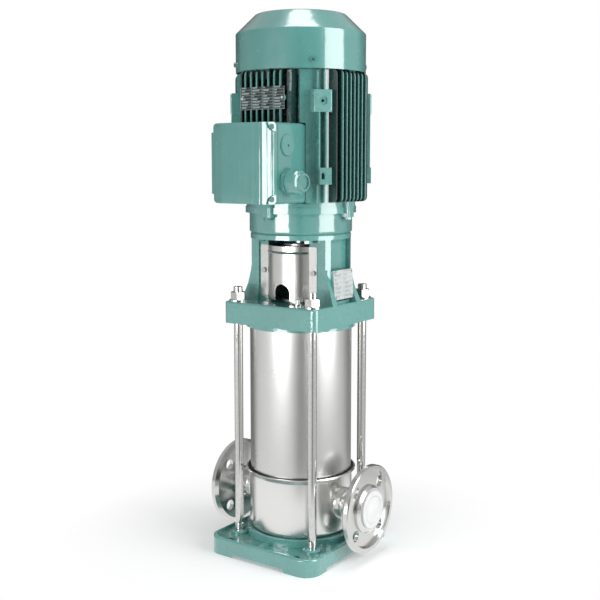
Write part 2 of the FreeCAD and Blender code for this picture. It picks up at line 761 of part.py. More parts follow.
def drain_plug():
    """Hexagon-headed plug in the boss at the back of the chamber."""
    seat = CHAMBER_R + DRAIN_BOSS
    shank = disc(DRAIN_R, CHAMBER_BORE_R, seat)
    return along_y(hexagon(DRAIN_HEX, seat, seat + DRAIN_HEAD).fuse(shank), 0, DRAIN_Z)


def inlet_bowl():
    """Inner bowl that takes the suction port to the first impeller's eye."""
    low = CHAMBER_BOTTOM + CHAMBER_WALL
    flange_z = STACK_BOTTOM - BOWL_FLANGE
    reach = CHAMBER_BORE_R - NEST_GAP
    wall = disc(BOWL_R, low, flange_z).fuse(disc(STAGE_R, flange_z, STACK_BOTTOM))
    branch = rod_x(PORT_BORE_R + BOWL_WALL, -CHAMBER_R, 0, 0, PORT_Z).common(disc(reach, low, flange_z))
    hollow = [disc(BOWL_R - BOWL_WALL, low, flange_z), rod_x(PORT_BORE_R, -CHAMBER_R, 0, 0, PORT_Z),
              disc(IMPELLER_EYE_R + BODY_GAP, flange_z, STACK_BOTTOM)]
    return wall.fuse(branch).cut(hollow)


def flange_ring():
    """Loose discharge flange: a web with four bolt holes, dished behind a raised rim."""
    web = FLANGE_FRONT_X
    back = web - FLANGE_WEB
    front = web + FLANGE_RIM_RISE
    rim = FLANGE_R - FLANGE_RIM
    step = back + FLANGE_BACK_DEPTH
    profile = [(back, FLANGE_BACK_R), (back, FLANGE_R - FLANGE_BACK_EDGE),
               (back + FLANGE_BACK_EDGE, FLANGE_R), (front - FLANGE_EDGE, FLANGE_R),
               (front, FLANGE_R - FLANGE_EDGE), (front, rim), (web, rim - FLANGE_RIM_SLOPE),
               (web, FLANGE_BORE_R), (step, FLANGE_BORE_R), (step, FLANGE_BACK_R)]
    ring = turned_x(profile, PORT_Z)
    holes = []
    for index in range(FLANGE_HOLES):
        angle = math.radians(360.0 * (index + 0.5) / FLANGE_HOLES)
        y = FLANGE_PCD / 2 * math.cos(angle)
        z = PORT_Z + FLANGE_PCD / 2 * math.sin(angle)
        holes.append(rod_x(FLANGE_HOLE_R, back, front, y, z))
    return ring.cut(holes)


def port_cap():
    """Plastic transport cap: a round face with a hollow spigot in the discharge bore."""
    face = PORT_FACE_X + BODY_GAP
    outer = PORT_BORE_R - BODY_GAP
    inner = outer - CAP_SPIGOT_WALL
    end = face + CAP_THICK
    profile = [(face, 0), (face, inner), (face - CAP_SPIGOT, inner), (face - CAP_SPIGOT, outer),
               (face, outer), (face, CAP_R), (end - CAP_EDGE_R, CAP_R), (end, CAP_R - CAP_EDGE_R),
               (end, 0)]
    return turned_x(profile, PORT_Z)


# Sleeve and tie rods
def outer_sleeve():
    """Stainless tube between the chamber and the pump head."""
    return tube(SLEEVE_R, SLEEVE_BORE_R, SLEEVE_BOTTOM, SLEEVE_TOP)


def sleeve_seal_rings():
    """Round seal rings in the chamber's lip and in the head cover's groove."""
    lip_r = (SLEEVE_R + LIP_R - LIP_ROLL) / 2
    lip_z = CHAMBER_LIP_Z - SLEEVE_RING_WIRE_R - BODY_GAP
    groove_r = SLEEVE_BORE_R - (COVER_GROOVE_DEPTH + NEST_GAP) / 2
    groove_z = (COVER_BOTTOM + HEAD_BOTTOM) / 2
    return group([Part.makeTorus(lip_r, SLEEVE_RING_WIRE_R, V(0, 0, lip_z)),
                  Part.makeTorus(groove_r, COVER_RING_WIRE_R, V(0, 0, groove_z))])


def staybolts():
    """Four round tie rods from the base to above the pump head."""
    return group([disc(ROD_R, BASE_H - ROD_DEPTH, NUT_TOP + ROD_STUB, x, y) for x, y in rod_places()])


def staybolt_washers():
    """Plain washers under the tie rod nuts."""
    bore = ROD_R + NEST_GAP
    return group([tube(WASHER_R, bore, HEAD_TOP, WASHER_TOP, x, y) for x, y in rod_places()])


def staybolt_nuts():
    """Hexagon nuts that clamp the pump head down."""
    nut = hexagon(NUT_HEX, WASHER_TOP, NUT_TOP).cut(disc(ROD_R + NEST_GAP, WASHER_TOP, NUT_TOP))
    return group([moved(nut, x, y) for x, y in rod_places()])


# Pump head and motor stool
def flared_rib(side):
    """One outer rib of the discharge column: thicker than the wall, with a hollow-curved, spread foot."""
    inner = COLUMN_HALF - COLUMN_WALL
    foot_z = HEAD_TOP - HEAD_EDGE_R
    tip_x = math.sqrt(STOOL_R ** 2 - RIB_HALF ** 2)
    start = V(tip_x, inner, RIB_FLARE_Z)
    end = V(RIB_FOOT_X, inner, HEAD_TOP)
    middle = V((tip_x + RIB_FOOT_X) / 2 - RIB_FLARE_SAG, inner, (RIB_FLARE_Z + HEAD_TOP) / 2)
    corners = [end, V(RIB_FOOT_X, inner, foot_z), V(RIB_STEP_X, inner, foot_z),
               V(RIB_STEP_X, inner, RIB_FLARE_Z), start]
    edges = [Part.Arc(start, middle, end).toShape()]
    edges.extend(Part.makeLine(corners[index], corners[index + 1]) for index in range(len(corners) - 1))
    flare = Part.Face(Part.Wire(edges)).extrude(V(0, RIB_TOE_HALF - inner, 0))
    upright = block(RIB_STEP_X, STOOL_R, inner, RIB_TOE_HALF, RIB_FLARE_Z, STOOL_RING_Z)
    upright = upright.common(disc(STOOL_R, RIB_FLARE_Z, STOOL_RING_Z))
    section = [V(RIB_STEP_X, inner, foot_z), V(RIB_STEP_X, RIB_TOE_HALF, foot_z),
               V(RIB_STEP_X, RIB_TOE_HALF, HEAD_TOP), V(RIB_STEP_X, RIB_HALF, HEAD_TOP + RIB_TOE_H),
               V(RIB_STEP_X, RIB_HALF, STOOL_RING_Z), V(RIB_STEP_X, inner, STOOL_RING_Z)]
    keep = Part.Face(Part.makePolygon(section + section[:1])).extrude(V(RIB_FOOT_X - RIB_STEP_X, 0, 0))
    rib = flare.fuse(upright).common(keep).removeSplitter()
    return rib if side > 0 else mirrored_y(rib)


def label_ledge(side):
    """Narrow seat along the inside of a rib, on which the label plate lies."""
    slope = (LABEL_BOTTOM_X - LABEL_TOP_X) / (LABEL_TOP_Z - LABEL_BOTTOM_Z)
    reach = slope * LEDGE_INSET
    low = LABEL_BOTTOM_Z + LEDGE_INSET
    high = LABEL_TOP_Z - LEDGE_INSET
    points = [V(WEB_OUTER, 0, low), V(LABEL_BOTTOM_X - reach, 0, low), V(LABEL_TOP_X + reach, 0, high),
              V(WEB_OUTER, 0, high)]
    seat = Part.Face(Part.makePolygon(points + points[:1])).extrude(V(0, LEDGE_WIDTH, 0))
    inner = COLUMN_HALF - COLUMN_WALL
    y = inner - LEDGE_WIDTH if side > 0 else -inner
    seat.translate(V(0, y, 0))
    return seat


def stool_column():
    """Discharge-side column: two side walls, a recessed web, flared ribs and label seats."""
    inner = COLUMN_HALF - COLUMN_WALL
    whole = block(COLUMN_INNER, STOOL_R, -COLUMN_HALF, COLUMN_HALF, HEAD_TOP, STOOL_RING_Z)
    column = whole.common(disc(STOOL_R, HEAD_TOP, STOOL_RING_Z))
    column = column.cut([block(COLUMN_INNER, WEB_INNER, -inner, inner, HEAD_TOP, STOOL_RING_Z),
                         block(WEB_OUTER, STOOL_R, -inner, inner, HEAD_TOP + PANEL_SILL, STOOL_RING_Z)])
    return column.fuse([flared_rib(-1), flared_rib(1), label_ledge(-1), label_ledge(1)])


def guard_screw_places():
    """X places of the guard screws."""
    return (-GUARD_SCREW_X, GUARD_SCREW_X)


def motor_stool():
    """One casting: square head plate, skirt, two columns and the motor seat ring."""
    plate = rounded_block(HEAD_SIDE, HEAD_SIDE, HEAD_CORNER_R, HEAD_BOTTOM, HEAD_TOP)
    plate = plate.makeFillet(HEAD_EDGE_R, level_edges(plate, HEAD_TOP))
    skirt = disc(SKIRT_R, SKIRT_BOTTOM, HEAD_BOTTOM + ROOT)
    ring = disc(STOOL_R, STOOL_RING_Z, STOOL_TOP)
    ring = ring.makeChamfer(STOOL_RING_EDGE, level_edges(ring, STOOL_TOP))
    column = stool_column()
    body = plate.fuse([skirt, ring, column, mirrored_x(column)])
    cuts = [disc(SPIGOT_R + NEST_GAP, STOOL_RING_Z, STOOL_TOP),
            disc(SLEEVE_R + NEST_GAP, SKIRT_BOTTOM, HEAD_BOTTOM),
            disc(COVER_NECK_R + NEST_GAP, HEAD_BOTTOM, HEAD_TOP),
            disc(VENT_SHANK_R + BODY_GAP, HEAD_BOTTOM, HEAD_TOP, VENT_X, VENT_Y)]
    for x, y in rod_places():
        cuts.append(disc(ROD_R + 2 * NEST_GAP, HEAD_BOTTOM, HEAD_TOP, x, y))
    bolt = disc(MOTOR_BOLT_R + NEST_GAP, STOOL_RING_Z, STOOL_TOP, MOTOR_BOLT_RADIUS)
    cuts.extend(at_angles(bolt, DIAGONALS))
    for x in guard_screw_places():
        cuts.append(rod_y(GUARD_SCREW_R + NEST_GAP, -COLUMN_HALF, COLUMN_HALF, x, GUARD_SCREW_Z))
    return body.cut(cuts).removeSplitter()


def head_cover():
    """Stainless cover under the casting: seal chamber, bearing holder and four legs."""
    groove_z = (COVER_BOTTOM + HEAD_BOTTOM) / 2
    rim = SLEEVE_BORE_R - NEST_GAP
    half = COVER_GROOVE / 2
    deep = rim - COVER_GROOVE_DEPTH
    low = JOURNAL_RING_Z - ROOT
    body = turned([(JOURNAL_RING_R, low), (JOURNAL_HOLDER_R, low), (JOURNAL_HOLDER_R, COVER_BOTTOM),
                   (rim, COVER_BOTTOM), (rim, groove_z - half), (deep, groove_z - half),
                   (deep, groove_z + half), (rim, groove_z + half), (rim, HEAD_BOTTOM),
                   (COVER_NECK_R, HEAD_BOTTOM), (COVER_NECK_R, COVER_NECK_TOP),
                   (SEAL_BORE_R, COVER_NECK_TOP), (SEAL_BORE_R, COVER_STEP_Z + SEAL_STEP),
                   (SEAL_STEP_R, COVER_STEP_Z + SEAL_STEP), (SEAL_STEP_R, COVER_STEP_Z),
                   (JOURNAL_RING_R, COVER_STEP_Z)])
    leg = block(STAGE_R - COVER_LEG, STAGE_R, -COVER_LEG / 2, COVER_LEG / 2, STACK_TOP, COVER_BOTTOM)
    vent = disc(VENT_SHANK_R + BODY_GAP, COVER_BOTTOM, HEAD_BOTTOM, VENT_X, VENT_Y)
    return body.fuse(at_angles(leg, DIAGONALS)).cut(vent)


def guard_sheet():
    """Front coupling guard: a curved sheet between two flat ears, with an arched cut-out."""
    ear_y = COLUMN_HALF
    shell = tube(GUARD_R, GUARD_R - GUARD_SHEET, GUARD_BOTTOM, GUARD_TOP)
    keep = block(-GUARD_R, GUARD_R, -GUARD_R, -ear_y, GUARD_BOTTOM, GUARD_TOP)
    bow = shell.common(keep)
    edge = math.sqrt(GUARD_R ** 2 - ear_y ** 2)
    inner_edge = math.sqrt((GUARD_R - GUARD_SHEET) ** 2 - (ear_y + GUARD_SHEET) ** 2)
    ears = []
    for sign in (-1, 1):
        x0, x1 = sorted((sign * inner_edge, sign * GUARD_EAR_X))
        ears.append(block(x0, x1, -ear_y - GUARD_SHEET, -ear_y, GUARD_BOTTOM, GUARD_TOP))
    bead = turned([(GUARD_R - 0.4, GUARD_BEAD_Z - GUARD_BEAD), (GUARD_R + GUARD_BEAD_PROUD, GUARD_BEAD_Z),
                   (GUARD_R - 0.4, GUARD_BEAD_Z + GUARD_BEAD)])
    bead_keep = block(-edge + ROOT, edge - ROOT, -GUARD_R - ROOT, -ear_y - GUARD_SHEET,
                      GUARD_BOTTOM, GUARD_TOP)
    body = bow.fuse(ears + [bead.common(bead_keep)])
    arch_z = GUARD_BOTTOM + GUARD_ARCH_H - GUARD_ARCH_R
    cuts = [rod_y(GUARD_ARCH_R, -GUARD_R - ROOT, -ear_y - GUARD_SHEET, 0, arch_z),
            block(-GUARD_ARCH_R, GUARD_ARCH_R, -GUARD_R - ROOT, -ear_y - GUARD_SHEET,
                  GUARD_BOTTOM, arch_z)]
    for x in guard_screw_places():
        cuts.append(rod_y(GUARD_SCREW_R + NEST_GAP, -ear_y - GUARD_SHEET, -ear_y, x, GUARD_SCREW_Z))
    return body.cut(cuts).removeSplitter()


def coupling_guards():
    """Equal guards in front of the coupling and behind it."""
    return group([guard_sheet(), mirrored_y(guard_sheet())])


def guard_screws():
    """Four screws that hold the guards to the columns."""
    seat = COLUMN_HALF + GUARD_SHEET
    screws = []
    for x in guard_screw_places():
        head = rod_y(GUARD_SCREW_HEAD_R, -seat - GUARD_SCREW_HEAD, -seat, x, GUARD_SCREW_Z)
        head = head.makeFillet(GUARD_SCREW_HEAD / 2, [head.Edges[0]])
        shank = rod_y(GUARD_SCREW_R, -seat, -COLUMN_HALF + COLUMN_WALL - 1.0, x, GUARD_SCREW_Z)
        screw = head.fuse(shank)
        screws.append(screw)
        screws.append(mirrored_y(screw))
    return group(screws)


def vent_screw():
    """Air vent screw with a collar, standing in the head plate."""
    seat = HEAD_TOP + BODY_GAP
    profile = [(0, HEAD_TOP - VENT_SHANK), (VENT_SHANK_R, HEAD_TOP - VENT_SHANK), (VENT_SHANK_R, seat),
               (VENT_COLLAR_R, seat), (VENT_COLLAR_R, seat + VENT_COLLAR),
               (VENT_R, seat + VENT_COLLAR), (VENT_R, seat + VENT_H - VENT_BEVEL),
               (VENT_R - VENT_BEVEL, seat + VENT_H), (0, seat + VENT_H)]
    screw = turned(profile)
    slot = block(-VENT_R, VENT_R, -VENT_SLOT / 2, VENT_SLOT / 2,
                 seat + VENT_H - VENT_SLOT_DEPTH, seat + VENT_H)
    return moved(screw.cut(slot), VENT_X, VENT_Y)


def label_tilt():
    """Angle in degrees by which the label plate leans back."""
    return math.degrees(math.atan2(LABEL_BOTTOM_X - LABEL_TOP_X, LABEL_TOP_Z - LABEL_BOTTOM_Z))


def on_label(shape):
    """Shape drawn on the X = 0 plane above Z = 0, leant and set at the label's foot."""
    copy = shape.copy()
    copy.rotate(V(0, 0, 0), V(0, 1, 0), -label_tilt())
    copy.translate(V(LABEL_BOTTOM_X, 0, LABEL_BOTTOM_Z))
    return copy


def label_length():
    """Length of the label plate along its slope."""
    return math.hypot(LABEL_BOTTOM_X - LABEL_TOP_X, LABEL_TOP_Z - LABEL_BOTTOM_Z)


def label_plate():
    """Bare plate riveted to the discharge column."""
    return on_label(block(0, PLATE_THICK, -LABEL_WIDTH / 2, LABEL_WIDTH / 2, 0, label_length()))


def plate_rivets():
    """Equal small rivets: four on the label plate and two on the rating plate."""
    rivets = []
    inset = RIVET_INSET
    for side in (-1, 1):
        y = side * (LABEL_WIDTH / 2 - inset)
        for z in (inset, label_length() - inset):
            rivets.append(on_label(rod_x(RIVET_R, PLATE_THICK, PLATE_THICK + RIVET_HEAD, y, z)))
        x = side * (RATING_HALF - inset)
        face = FIN_TIP + PLATE_THICK
        rivets.append(rod_y(RIVET_R, -face - RIVET_HEAD, -face, x, RATING_Z + RATING_H / 2))
    return group(rivets)


# Stage stack
def vane(inner_r, outer_r, low, high):
    """One curved vane: part of a thin ring whose centre lies off the shaft."""
    centre = (inner_r + outer_r) / 2
    ring = tube(VANE_BEND_R, VANE_BEND_R - VANE_THICK, low, high, centre, -VANE_BEND_R + VANE_THICK / 2)
    band = tube(outer_r, inner_r, low, high)
    window = block(0, outer_r, -outer_r, outer_r, low, high)
    return ring.common(band).common(window)


def stage_chamber(low):
    """One stage: cup with an eye, a return disc and the guide vanes above it."""
    high = low + STAGE_PITCH
    floor = low + STAGE_FLOOR
    disc_z = low + STAGE_DISC_Z
    disc_top = disc_z + STAGE_DISC
    eye = IMPELLER_EYE_R + BODY_GAP + NECK_RING_WALL
    inner = STAGE_R - STAGE_WALL
    bore = IMPELLER_HUB_R + BODY_GAP
    cup = turned([(eye, low), (STAGE_R, low), (STAGE_R, high), (inner, high), (inner, floor), (eye, floor)])
    hub = tube(bore + STAGE_HUB_WALL, bore, disc_z - STAGE_HUB_DROP, disc_top)
    plate = tube(IMPELLER_R, bore, disc_z, disc_top)
    first = vane(GUIDE_VANE_INNER_R, inner + 0.5, disc_top - 0.5, high)
    vanes = [spun(first, 360.0 * index / GUIDE_VANES) for index in range(GUIDE_VANES)]
    return cup.fuse([hub, plate] + vanes)


def stage_chambers():
    """All stage chambers, one on the other."""
    return group([stage_chamber(STACK_BOTTOM + index * STAGE_PITCH) for index in range(STAGES)])


def neck_rings():
    """Wear ring in each stage's eye, around the impeller's skirt."""
    inner = IMPELLER_EYE_R + BODY_GAP
    outer = inner + NECK_RING_WALL - NEST_GAP
    rings = []
    for index in range(STAGES):
        low = STACK_BOTTOM + index * STAGE_PITCH
        floor = low + STAGE_FLOOR
        rings.append(turned([(inner, low), (outer, low), (outer, floor), (outer + NECK_RING_LIP, floor),
                             (outer + NECK_RING_LIP, floor + NECK_RING_LIP_H),
                             (inner, floor + NECK_RING_LIP_H)]))
    return group(rings)


def stage_straps():
    """Two straps that clamp the stack, hooked over its ends."""
    inner = STAGE_R + NEST_GAP
    outer = inner + STRAP_THICK
    half = STRAP_WIDTH / 2
    flange_z = STACK_BOTTOM - BOWL_FLANGE
    strap = block(inner, outer, -half, half, flange_z - STRAP_HOOK_H, STACK_TOP + STRAP_HOOK_H)
    hooks = [block(inner - STRAP_HOOK, outer, -half, half, flange_z - STRAP_HOOK_H, flange_z),
             block(inner - STRAP_HOOK, outer, -half, half, STACK_TOP, STACK_TOP + STRAP_HOOK_H)]
    return group(at_angles(strap.fuse(hooks), (90.0, 270.0)))


def impeller(low):
    """Closed impeller: eye skirt, two shrouds, hub and backward-curved vanes."""
    front = low + IMPELLER_Z
    passage = front + IMPELLER_SHROUD
    back = passage + IMPELLER_PASSAGE
    top = back + IMPELLER_SHROUD
    skirt_low = low + STAGE_FLOOR
    eye = IMPELLER_EYE_R
    bore = SHAFT_R + RUN_GAP
    skirt = turned([(eye - IMPELLER_EYE_WALL, skirt_low), (eye, skirt_low), (eye, front),
                    (IMPELLER_R, front), (IMPELLER_R, passage), (eye - IMPELLER_EYE_WALL, passage)])
    rear = turned([(bore, low + HUB_BOTTOM), (IMPELLER_HUB_R, low + HUB_BOTTOM), (IMPELLER_HUB_R, back),
                   (IMPELLER_R, back), (IMPELLER_R, top), (IMPELLER_HUB_R, top),
                   (IMPELLER_HUB_R, low + HUB_TOP), (bore, low + HUB_TOP)])
    first = vane(IMPELLER_EYE_R, IMPELLER_R, passage - 0.5, back + 0.5)
    vanes = [spun(first, 360.0 * index / IMPELLER_VANES) for index in range(IMPELLER_VANES)]
    return skirt.fuse([rear] + vanes)


def impellers():
    """All impellers on the pump shaft."""
    return group([impeller(STACK_BOTTOM + index * STAGE_PITCH) for index in range(STAGES)])


def stage_spacers():
    """Distance sleeves between the impeller hubs."""
    sleeves = []
    for index in range(STAGES - 1):
        low = STACK_BOTTOM + index * STAGE_PITCH + HUB_TOP
        high = STACK_BOTTOM + (index + 1) * STAGE_PITCH + HUB_BOTTOM
        sleeves.append(tube(IMPELLER_HUB_R, SHAFT_R + RUN_GAP, low, high))
    return group(sleeves)


# Pump shaft, bearing and seal
def pump_shaft():
    """Pump shaft from below the first impeller into the coupling."""
    low = FIRST_HUB_Z - SHAFT_NUT_H - SHAFT_TAIL
    shaft = disc(SHAFT_R, low, SHAFT_JOINT_Z)
    return shaft.makeChamfer(BEVEL, level_edges(shaft, low) + level_edges(shaft, SHAFT_JOINT_Z))


def shaft_nut():
    """Nut that clamps the impellers from below."""
    low = FIRST_HUB_Z - SHAFT_NUT_H
    return hexagon(SHAFT_NUT_HEX, low, FIRST_HUB_Z).cut(disc(SHAFT_R + RUN_GAP, low, FIRST_HUB_Z))


def journal_sleeve():
    """Hard sleeve that runs in the journal ring and spaces the last impeller."""
    bore = SHAFT_R + RUN_GAP
    return turned([(bore, LAST_HUB_TOP), (IMPELLER_HUB_R, LAST_HUB_TOP), (IMPELLER_HUB_R, STACK_TOP),
                   (JOURNAL_R, STACK_TOP), (JOURNAL_R, BELLOWS_Z), (bore, BELLOWS_Z)])


def journal_ring():
    """Fixed bearing ring in the head cover."""
    return tube(JOURNAL_RING_R - NEST_GAP, JOURNAL_R + RUN_GAP, JOURNAL_RING_Z, COVER_STEP_Z)


def seal_cover():
    """Flanged cover on the seal chamber, with a socket for the fixed seat."""
    outer = COVER_NECK_R - NEST_GAP
    socket = SEAL_BORE_R - NEST_GAP
    seat = SEAL_SEAT_R + NEST_GAP
    bore = SHAFT_R + 4 * BODY_GAP
    rim_top = COVER_NECK_TOP + SEAL_COVER_RIM
    return turned([(bore, COVER_NECK_TOP), (seat, COVER_NECK_TOP), (seat, SEAL_FACE_Z - BEVEL),
                   (socket, SEAL_FACE_Z - BEVEL), (socket, COVER_NECK_TOP), (outer, COVER_NECK_TOP),
                   (outer, rim_top), (bore + 2 * SEAL_COVER_HUB, rim_top),
                   (bore + SEAL_COVER_HUB, SEAL_COVER_TOP),
                   (bore, SEAL_COVER_TOP)])


def seal_seat():
    """Fixed seal ring in its cover."""
    return tube(SEAL_SEAT_R, SHAFT_R + 2 * BODY_GAP, SEAL_FACE_Z, COVER_NECK_TOP)


def seal_ring():
    """Turning seal ring that runs against the fixed seat."""
    return tube(SEAL_RING_R, SHAFT_R + RUN_GAP, SEAL_RING_Z, SEAL_RING_Z + SEAL_RING_H)


def seal_bellows():
    """Rubber bellows that presses the turning seal ring upward."""
    step = BELLOWS_H / (2 * BELLOWS_FOLDS)
    profile = [(SHAFT_R + RUN_GAP, SEAL_RING_Z)]
    for index in range(2 * BELLOWS_FOLDS + 1):
        radius = BELLOWS_R if index % 2 == 0 else BELLOWS_ROOT_R
        profile.append((radius, SEAL_RING_Z - index * step))
    profile.append((SHAFT_R + RUN_GAP, BELLOWS_Z))
    return turned(profile)


# Split coupling
def coupling_bolt_places():
    """X and Z places of the four coupling bolts."""
    low = COUPLING_BOTTOM + COUPLING_BOLT_END
    high = COUPLING_TOP - COUPLING_BOLT_END
    return [(x, z) for x in (-COUPLING_BOLT_X, COUPLING_BOLT_X) for z in (low, high)]


def coupling_halves():
    """Two half shells that clamp both shaft ends."""
    edge = COUPLING_EDGE
    body = turned([(0, COUPLING_BOTTOM), (COUPLING_R - edge, COUPLING_BOTTOM),
                   (COUPLING_R, COUPLING_BOTTOM + edge), (COUPLING_R, COUPLING_TOP - edge),
                   (COUPLING_R - edge, COUPLING_TOP), (0, COUPLING_TOP)])
    cuts = [disc(SHAFT_R + RUN_GAP, COUPLING_BOTTOM, SHAFT_JOINT_Z),
            disc(MOTOR_SHAFT_R + RUN_GAP, SHAFT_JOINT_Z, COUPLING_TOP),
            block(-COUPLING_R, COUPLING_R, -COUPLING_SPLIT / 2, COUPLING_SPLIT / 2,
                  COUPLING_BOTTOM, COUPLING_TOP)]
    for x, z in coupling_bolt_places():
        cuts.append(rod_y(COUPLING_BOLT_R + NEST_GAP, -COUPLING_R, COUPLING_R, x, z))
        cuts.append(rod_y(COUPLING_HEAD_R + NEST_GAP, -COUPLING_R, -COUPLING_HEAD_SEAT, x, z))
        cuts.append(rod_y(COUPLING_HEAD_R + NEST_GAP, COUPLING_HEAD_SEAT, COUPLING_R, x, z))
    return group(body.cut(cuts).Solids)


def coupling_bolts():
    """Socket-head bolts through both halves."""
    bolts = []
    for x, z in coupling_bolt_places():
        seat = -COUPLING_HEAD_SEAT
        head = rod_y(COUPLING_HEAD_R, seat - COUPLING_HEAD_H, seat, x, z)
        bolts.append(head.fuse(rod_y(COUPLING_BOLT_R, seat, COUPLING_HEAD_SEAT + COUPLING_NUT_H, x, z)))
    return group(bolts)


# Motor
def motor_shaft():
    """Stepped motor shaft from the coupling to the fan."""
    low = SHAFT_JOINT_Z + SHAFT_JOINT_GAP
    drive = DRIVE_BEARING_Z
    rear = REAR_BEARING_Z
    rotor_low = drive + BEARING_W + ROOT
    fan_top = FAN_Z + FAN_H
    profile = [(0, low), (MOTOR_SHAFT_R - BEVEL, low), (MOTOR_SHAFT_R, low + BEVEL),
               (MOTOR_SHAFT_R, drive - ROOT),
               (BEARING_BORE_R, drive - ROOT), (BEARING_BORE_R, rotor_low), (ROTOR_SEAT_R, rotor_low),
               (ROTOR_SEAT_R, rear), (BEARING_BORE_R, rear), (BEARING_BORE_R, rear + BEARING_W),
               (FAN_SEAT_R, rear + BEARING_W), (FAN_SEAT_R, fan_top - BEVEL), (FAN_SEAT_R - BEVEL, fan_top),
               (0, fan_top)]
    return turned(profile)


def rotor_core():
    """Laminated rotor on the motor shaft."""
    return tube(ROTOR_R, ROTOR_SEAT_R + RUN_GAP, ROTOR_Z, ROTOR_Z + ROTOR_H)


def stator_core():
    """Laminated stator pressed in the frame."""
    return tube(FRAME_BORE_R - NEST_GAP, STATOR_BORE_R, STATOR_Z, STATOR_Z + STATOR_H)


def stator_winding():
    """Winding heads below and above the stator."""
    heads = []
    for low in (STATOR_Z - WINDING_H, STATOR_Z + STATOR_H):
        head = tube(WINDING_R, WINDING_BORE_R, low, low + WINDING_H)
        outer = level_edges(head, low) + level_edges(head, low + WINDING_H)
        heads.append(head.makeFillet(WINDING_H / 5, outer))
    return group(heads)


def bearing_outer_rings():
    """Fixed rings of the two equal ball bearings."""
    rings = []
    for low in (DRIVE_BEARING_Z, REAR_BEARING_Z):
        inner = BEARING_BALL_PITCH_R + BEARING_LAND
        ring = tube(BEARING_R - NEST_GAP, inner, low, low + BEARING_W)
        middle = V(0, 0, low + BEARING_W / 2)
        rings.append(ring.cut(Part.makeTorus(BEARING_BALL_PITCH_R, BEARING_BALL_R + BODY_GAP, middle)))
    return group(rings)


def bearing_rolling_sets():
    """Turning inner ring and balls of each bearing."""
    pieces = []
    for low in (DRIVE_BEARING_Z, REAR_BEARING_Z):
        outer = BEARING_BALL_PITCH_R - BEARING_LAND
        ring = tube(outer, BEARING_BORE_R + RUN_GAP, low, low + BEARING_W)
        middle = V(0, 0, low + BEARING_W / 2)
        pieces.append(ring.cut(Part.makeTorus(BEARING_BALL_PITCH_R, BEARING_BALL_R + RUN_GAP, middle)))
        ball = Part.makeSphere(BEARING_BALL_R, V(BEARING_BALL_PITCH_R, 0, low + BEARING_W / 2))
        pieces.extend(spun(ball, 360.0 * index / BEARING_BALLS) for index in range(BEARING_BALLS))
    return group(pieces)


def motor_flange():
    """Drive end shield with the flange that seats on the stool."""
    low = STOOL_TOP
    recess = low + SPIGOT_H
    plate_top = low + MOTOR_FLANGE_PLATE
    wall = FLANGE_RING_R - MOTOR_NECK_WALL
    spigot = SPIGOT_R - NEST_GAP
    register = FRAME_BORE_R - NEST_GAP
    body = turned([(MOTOR_HOLE_R, recess), (spigot - SPIGOT_WALL, recess),
                   (spigot - SPIGOT_WALL, low - SPIGOT_H),
                   (spigot, low - SPIGOT_H), (spigot, low), (FLANGE_RING_R, low),
                   (FLANGE_RING_R, MOTOR_NECK_TOP), (SHIELD_R, MOTOR_NECK_TOP + BEVEL),
                   (SHIELD_R, SHIELD_TOP),
                   (register, SHIELD_TOP), (register, SHIELD_TOP + REGISTER_H),
                   (register - REGISTER_WALL, SHIELD_TOP + REGISTER_H),
                   (register - REGISTER_WALL, MOTOR_NECK_TOP), (wall, MOTOR_NECK_TOP - 1.5 * REGISTER_WALL),
                   (wall, plate_top),
                   (MOTOR_HUB_R, plate_top), (MOTOR_HUB_R, DRIVE_BEARING_Z + BEARING_W),
                   (BEARING_R, DRIVE_BEARING_Z + BEARING_W), (BEARING_R, DRIVE_BEARING_Z),
                   (MOTOR_HOLE_R, DRIVE_BEARING_Z)])
    body = body.makeFillet(MOTOR_FLANGE_EDGE_R, level_edges(body, low, FLANGE_RING_R - 1.0))
    lug = block(FLANGE_RING_R - 2 * ROOT, LUG_R, -LUG_WIDTH / 2, LUG_WIDTH / 2, LUG_BOTTOM, SHIELD_TOP)
    upright = [e for e in lug.Edges if e.BoundBox.ZLength > LUG_DROP / 2 and e.BoundBox.XMin > LUG_R - BEVEL]
    lug = lug.makeFillet(LUG_EDGE_R, upright)
    cuts = at_angles(disc(MOTOR_BOLT_R + NEST_GAP, low, plate_top, MOTOR_BOLT_RADIUS), DIAGONALS)
    cuts.extend(at_angles(disc(LUG_SCREW_R + NEST_GAP, LUG_BOTTOM, SHIELD_TOP, LUG_SCREW_RADIUS), QUARTERS))
    return body.fuse(at_angles(lug, QUARTERS)).cut(cuts).removeSplitter()


def motor_bolts():
    """Hexagon bolts that hold the motor to the stool's ring from below."""
    top = STOOL_TOP + MOTOR_FLANGE_PLATE
    head = hexagon(MOTOR_BOLT_HEX, STOOL_RING_Z - MOTOR_BOLT_HEAD, STOOL_RING_Z)
    bolt = moved(head.fuse(disc(MOTOR_BOLT_R, STOOL_RING_Z, top)), MOTOR_BOLT_RADIUS, 0)
    return group(at_angles(bolt, DIAGONALS))


def fin(offset):
    """One upright fin on the +X side, with rounded outer ends."""
    tip = min(FIN_TIP, math.sqrt(FIN_ENVELOPE_R ** 2 - offset ** 2))
    low = SHIELD_TOP + FRAME_RING_H
    high = FRAME_TOP
    plate = block(FIN_ROOT, tip, offset - FIN_THICK / 2, offset + FIN_THICK / 2, low, high)
    ends = [e for e in plate.Edges if e.BoundBox.YLength > FIN_THICK / 2 and e.BoundBox.XMin > tip - 0.1]
    return plate.makeFillet(FIN_END_R, ends)


def fin_group():
    """Parallel fins of one side of the frame."""
    middle = (FIN_COUNT - 1) / 2
    return [fin((index - middle) * FIN_PITCH) for index in range(FIN_COUNT)]


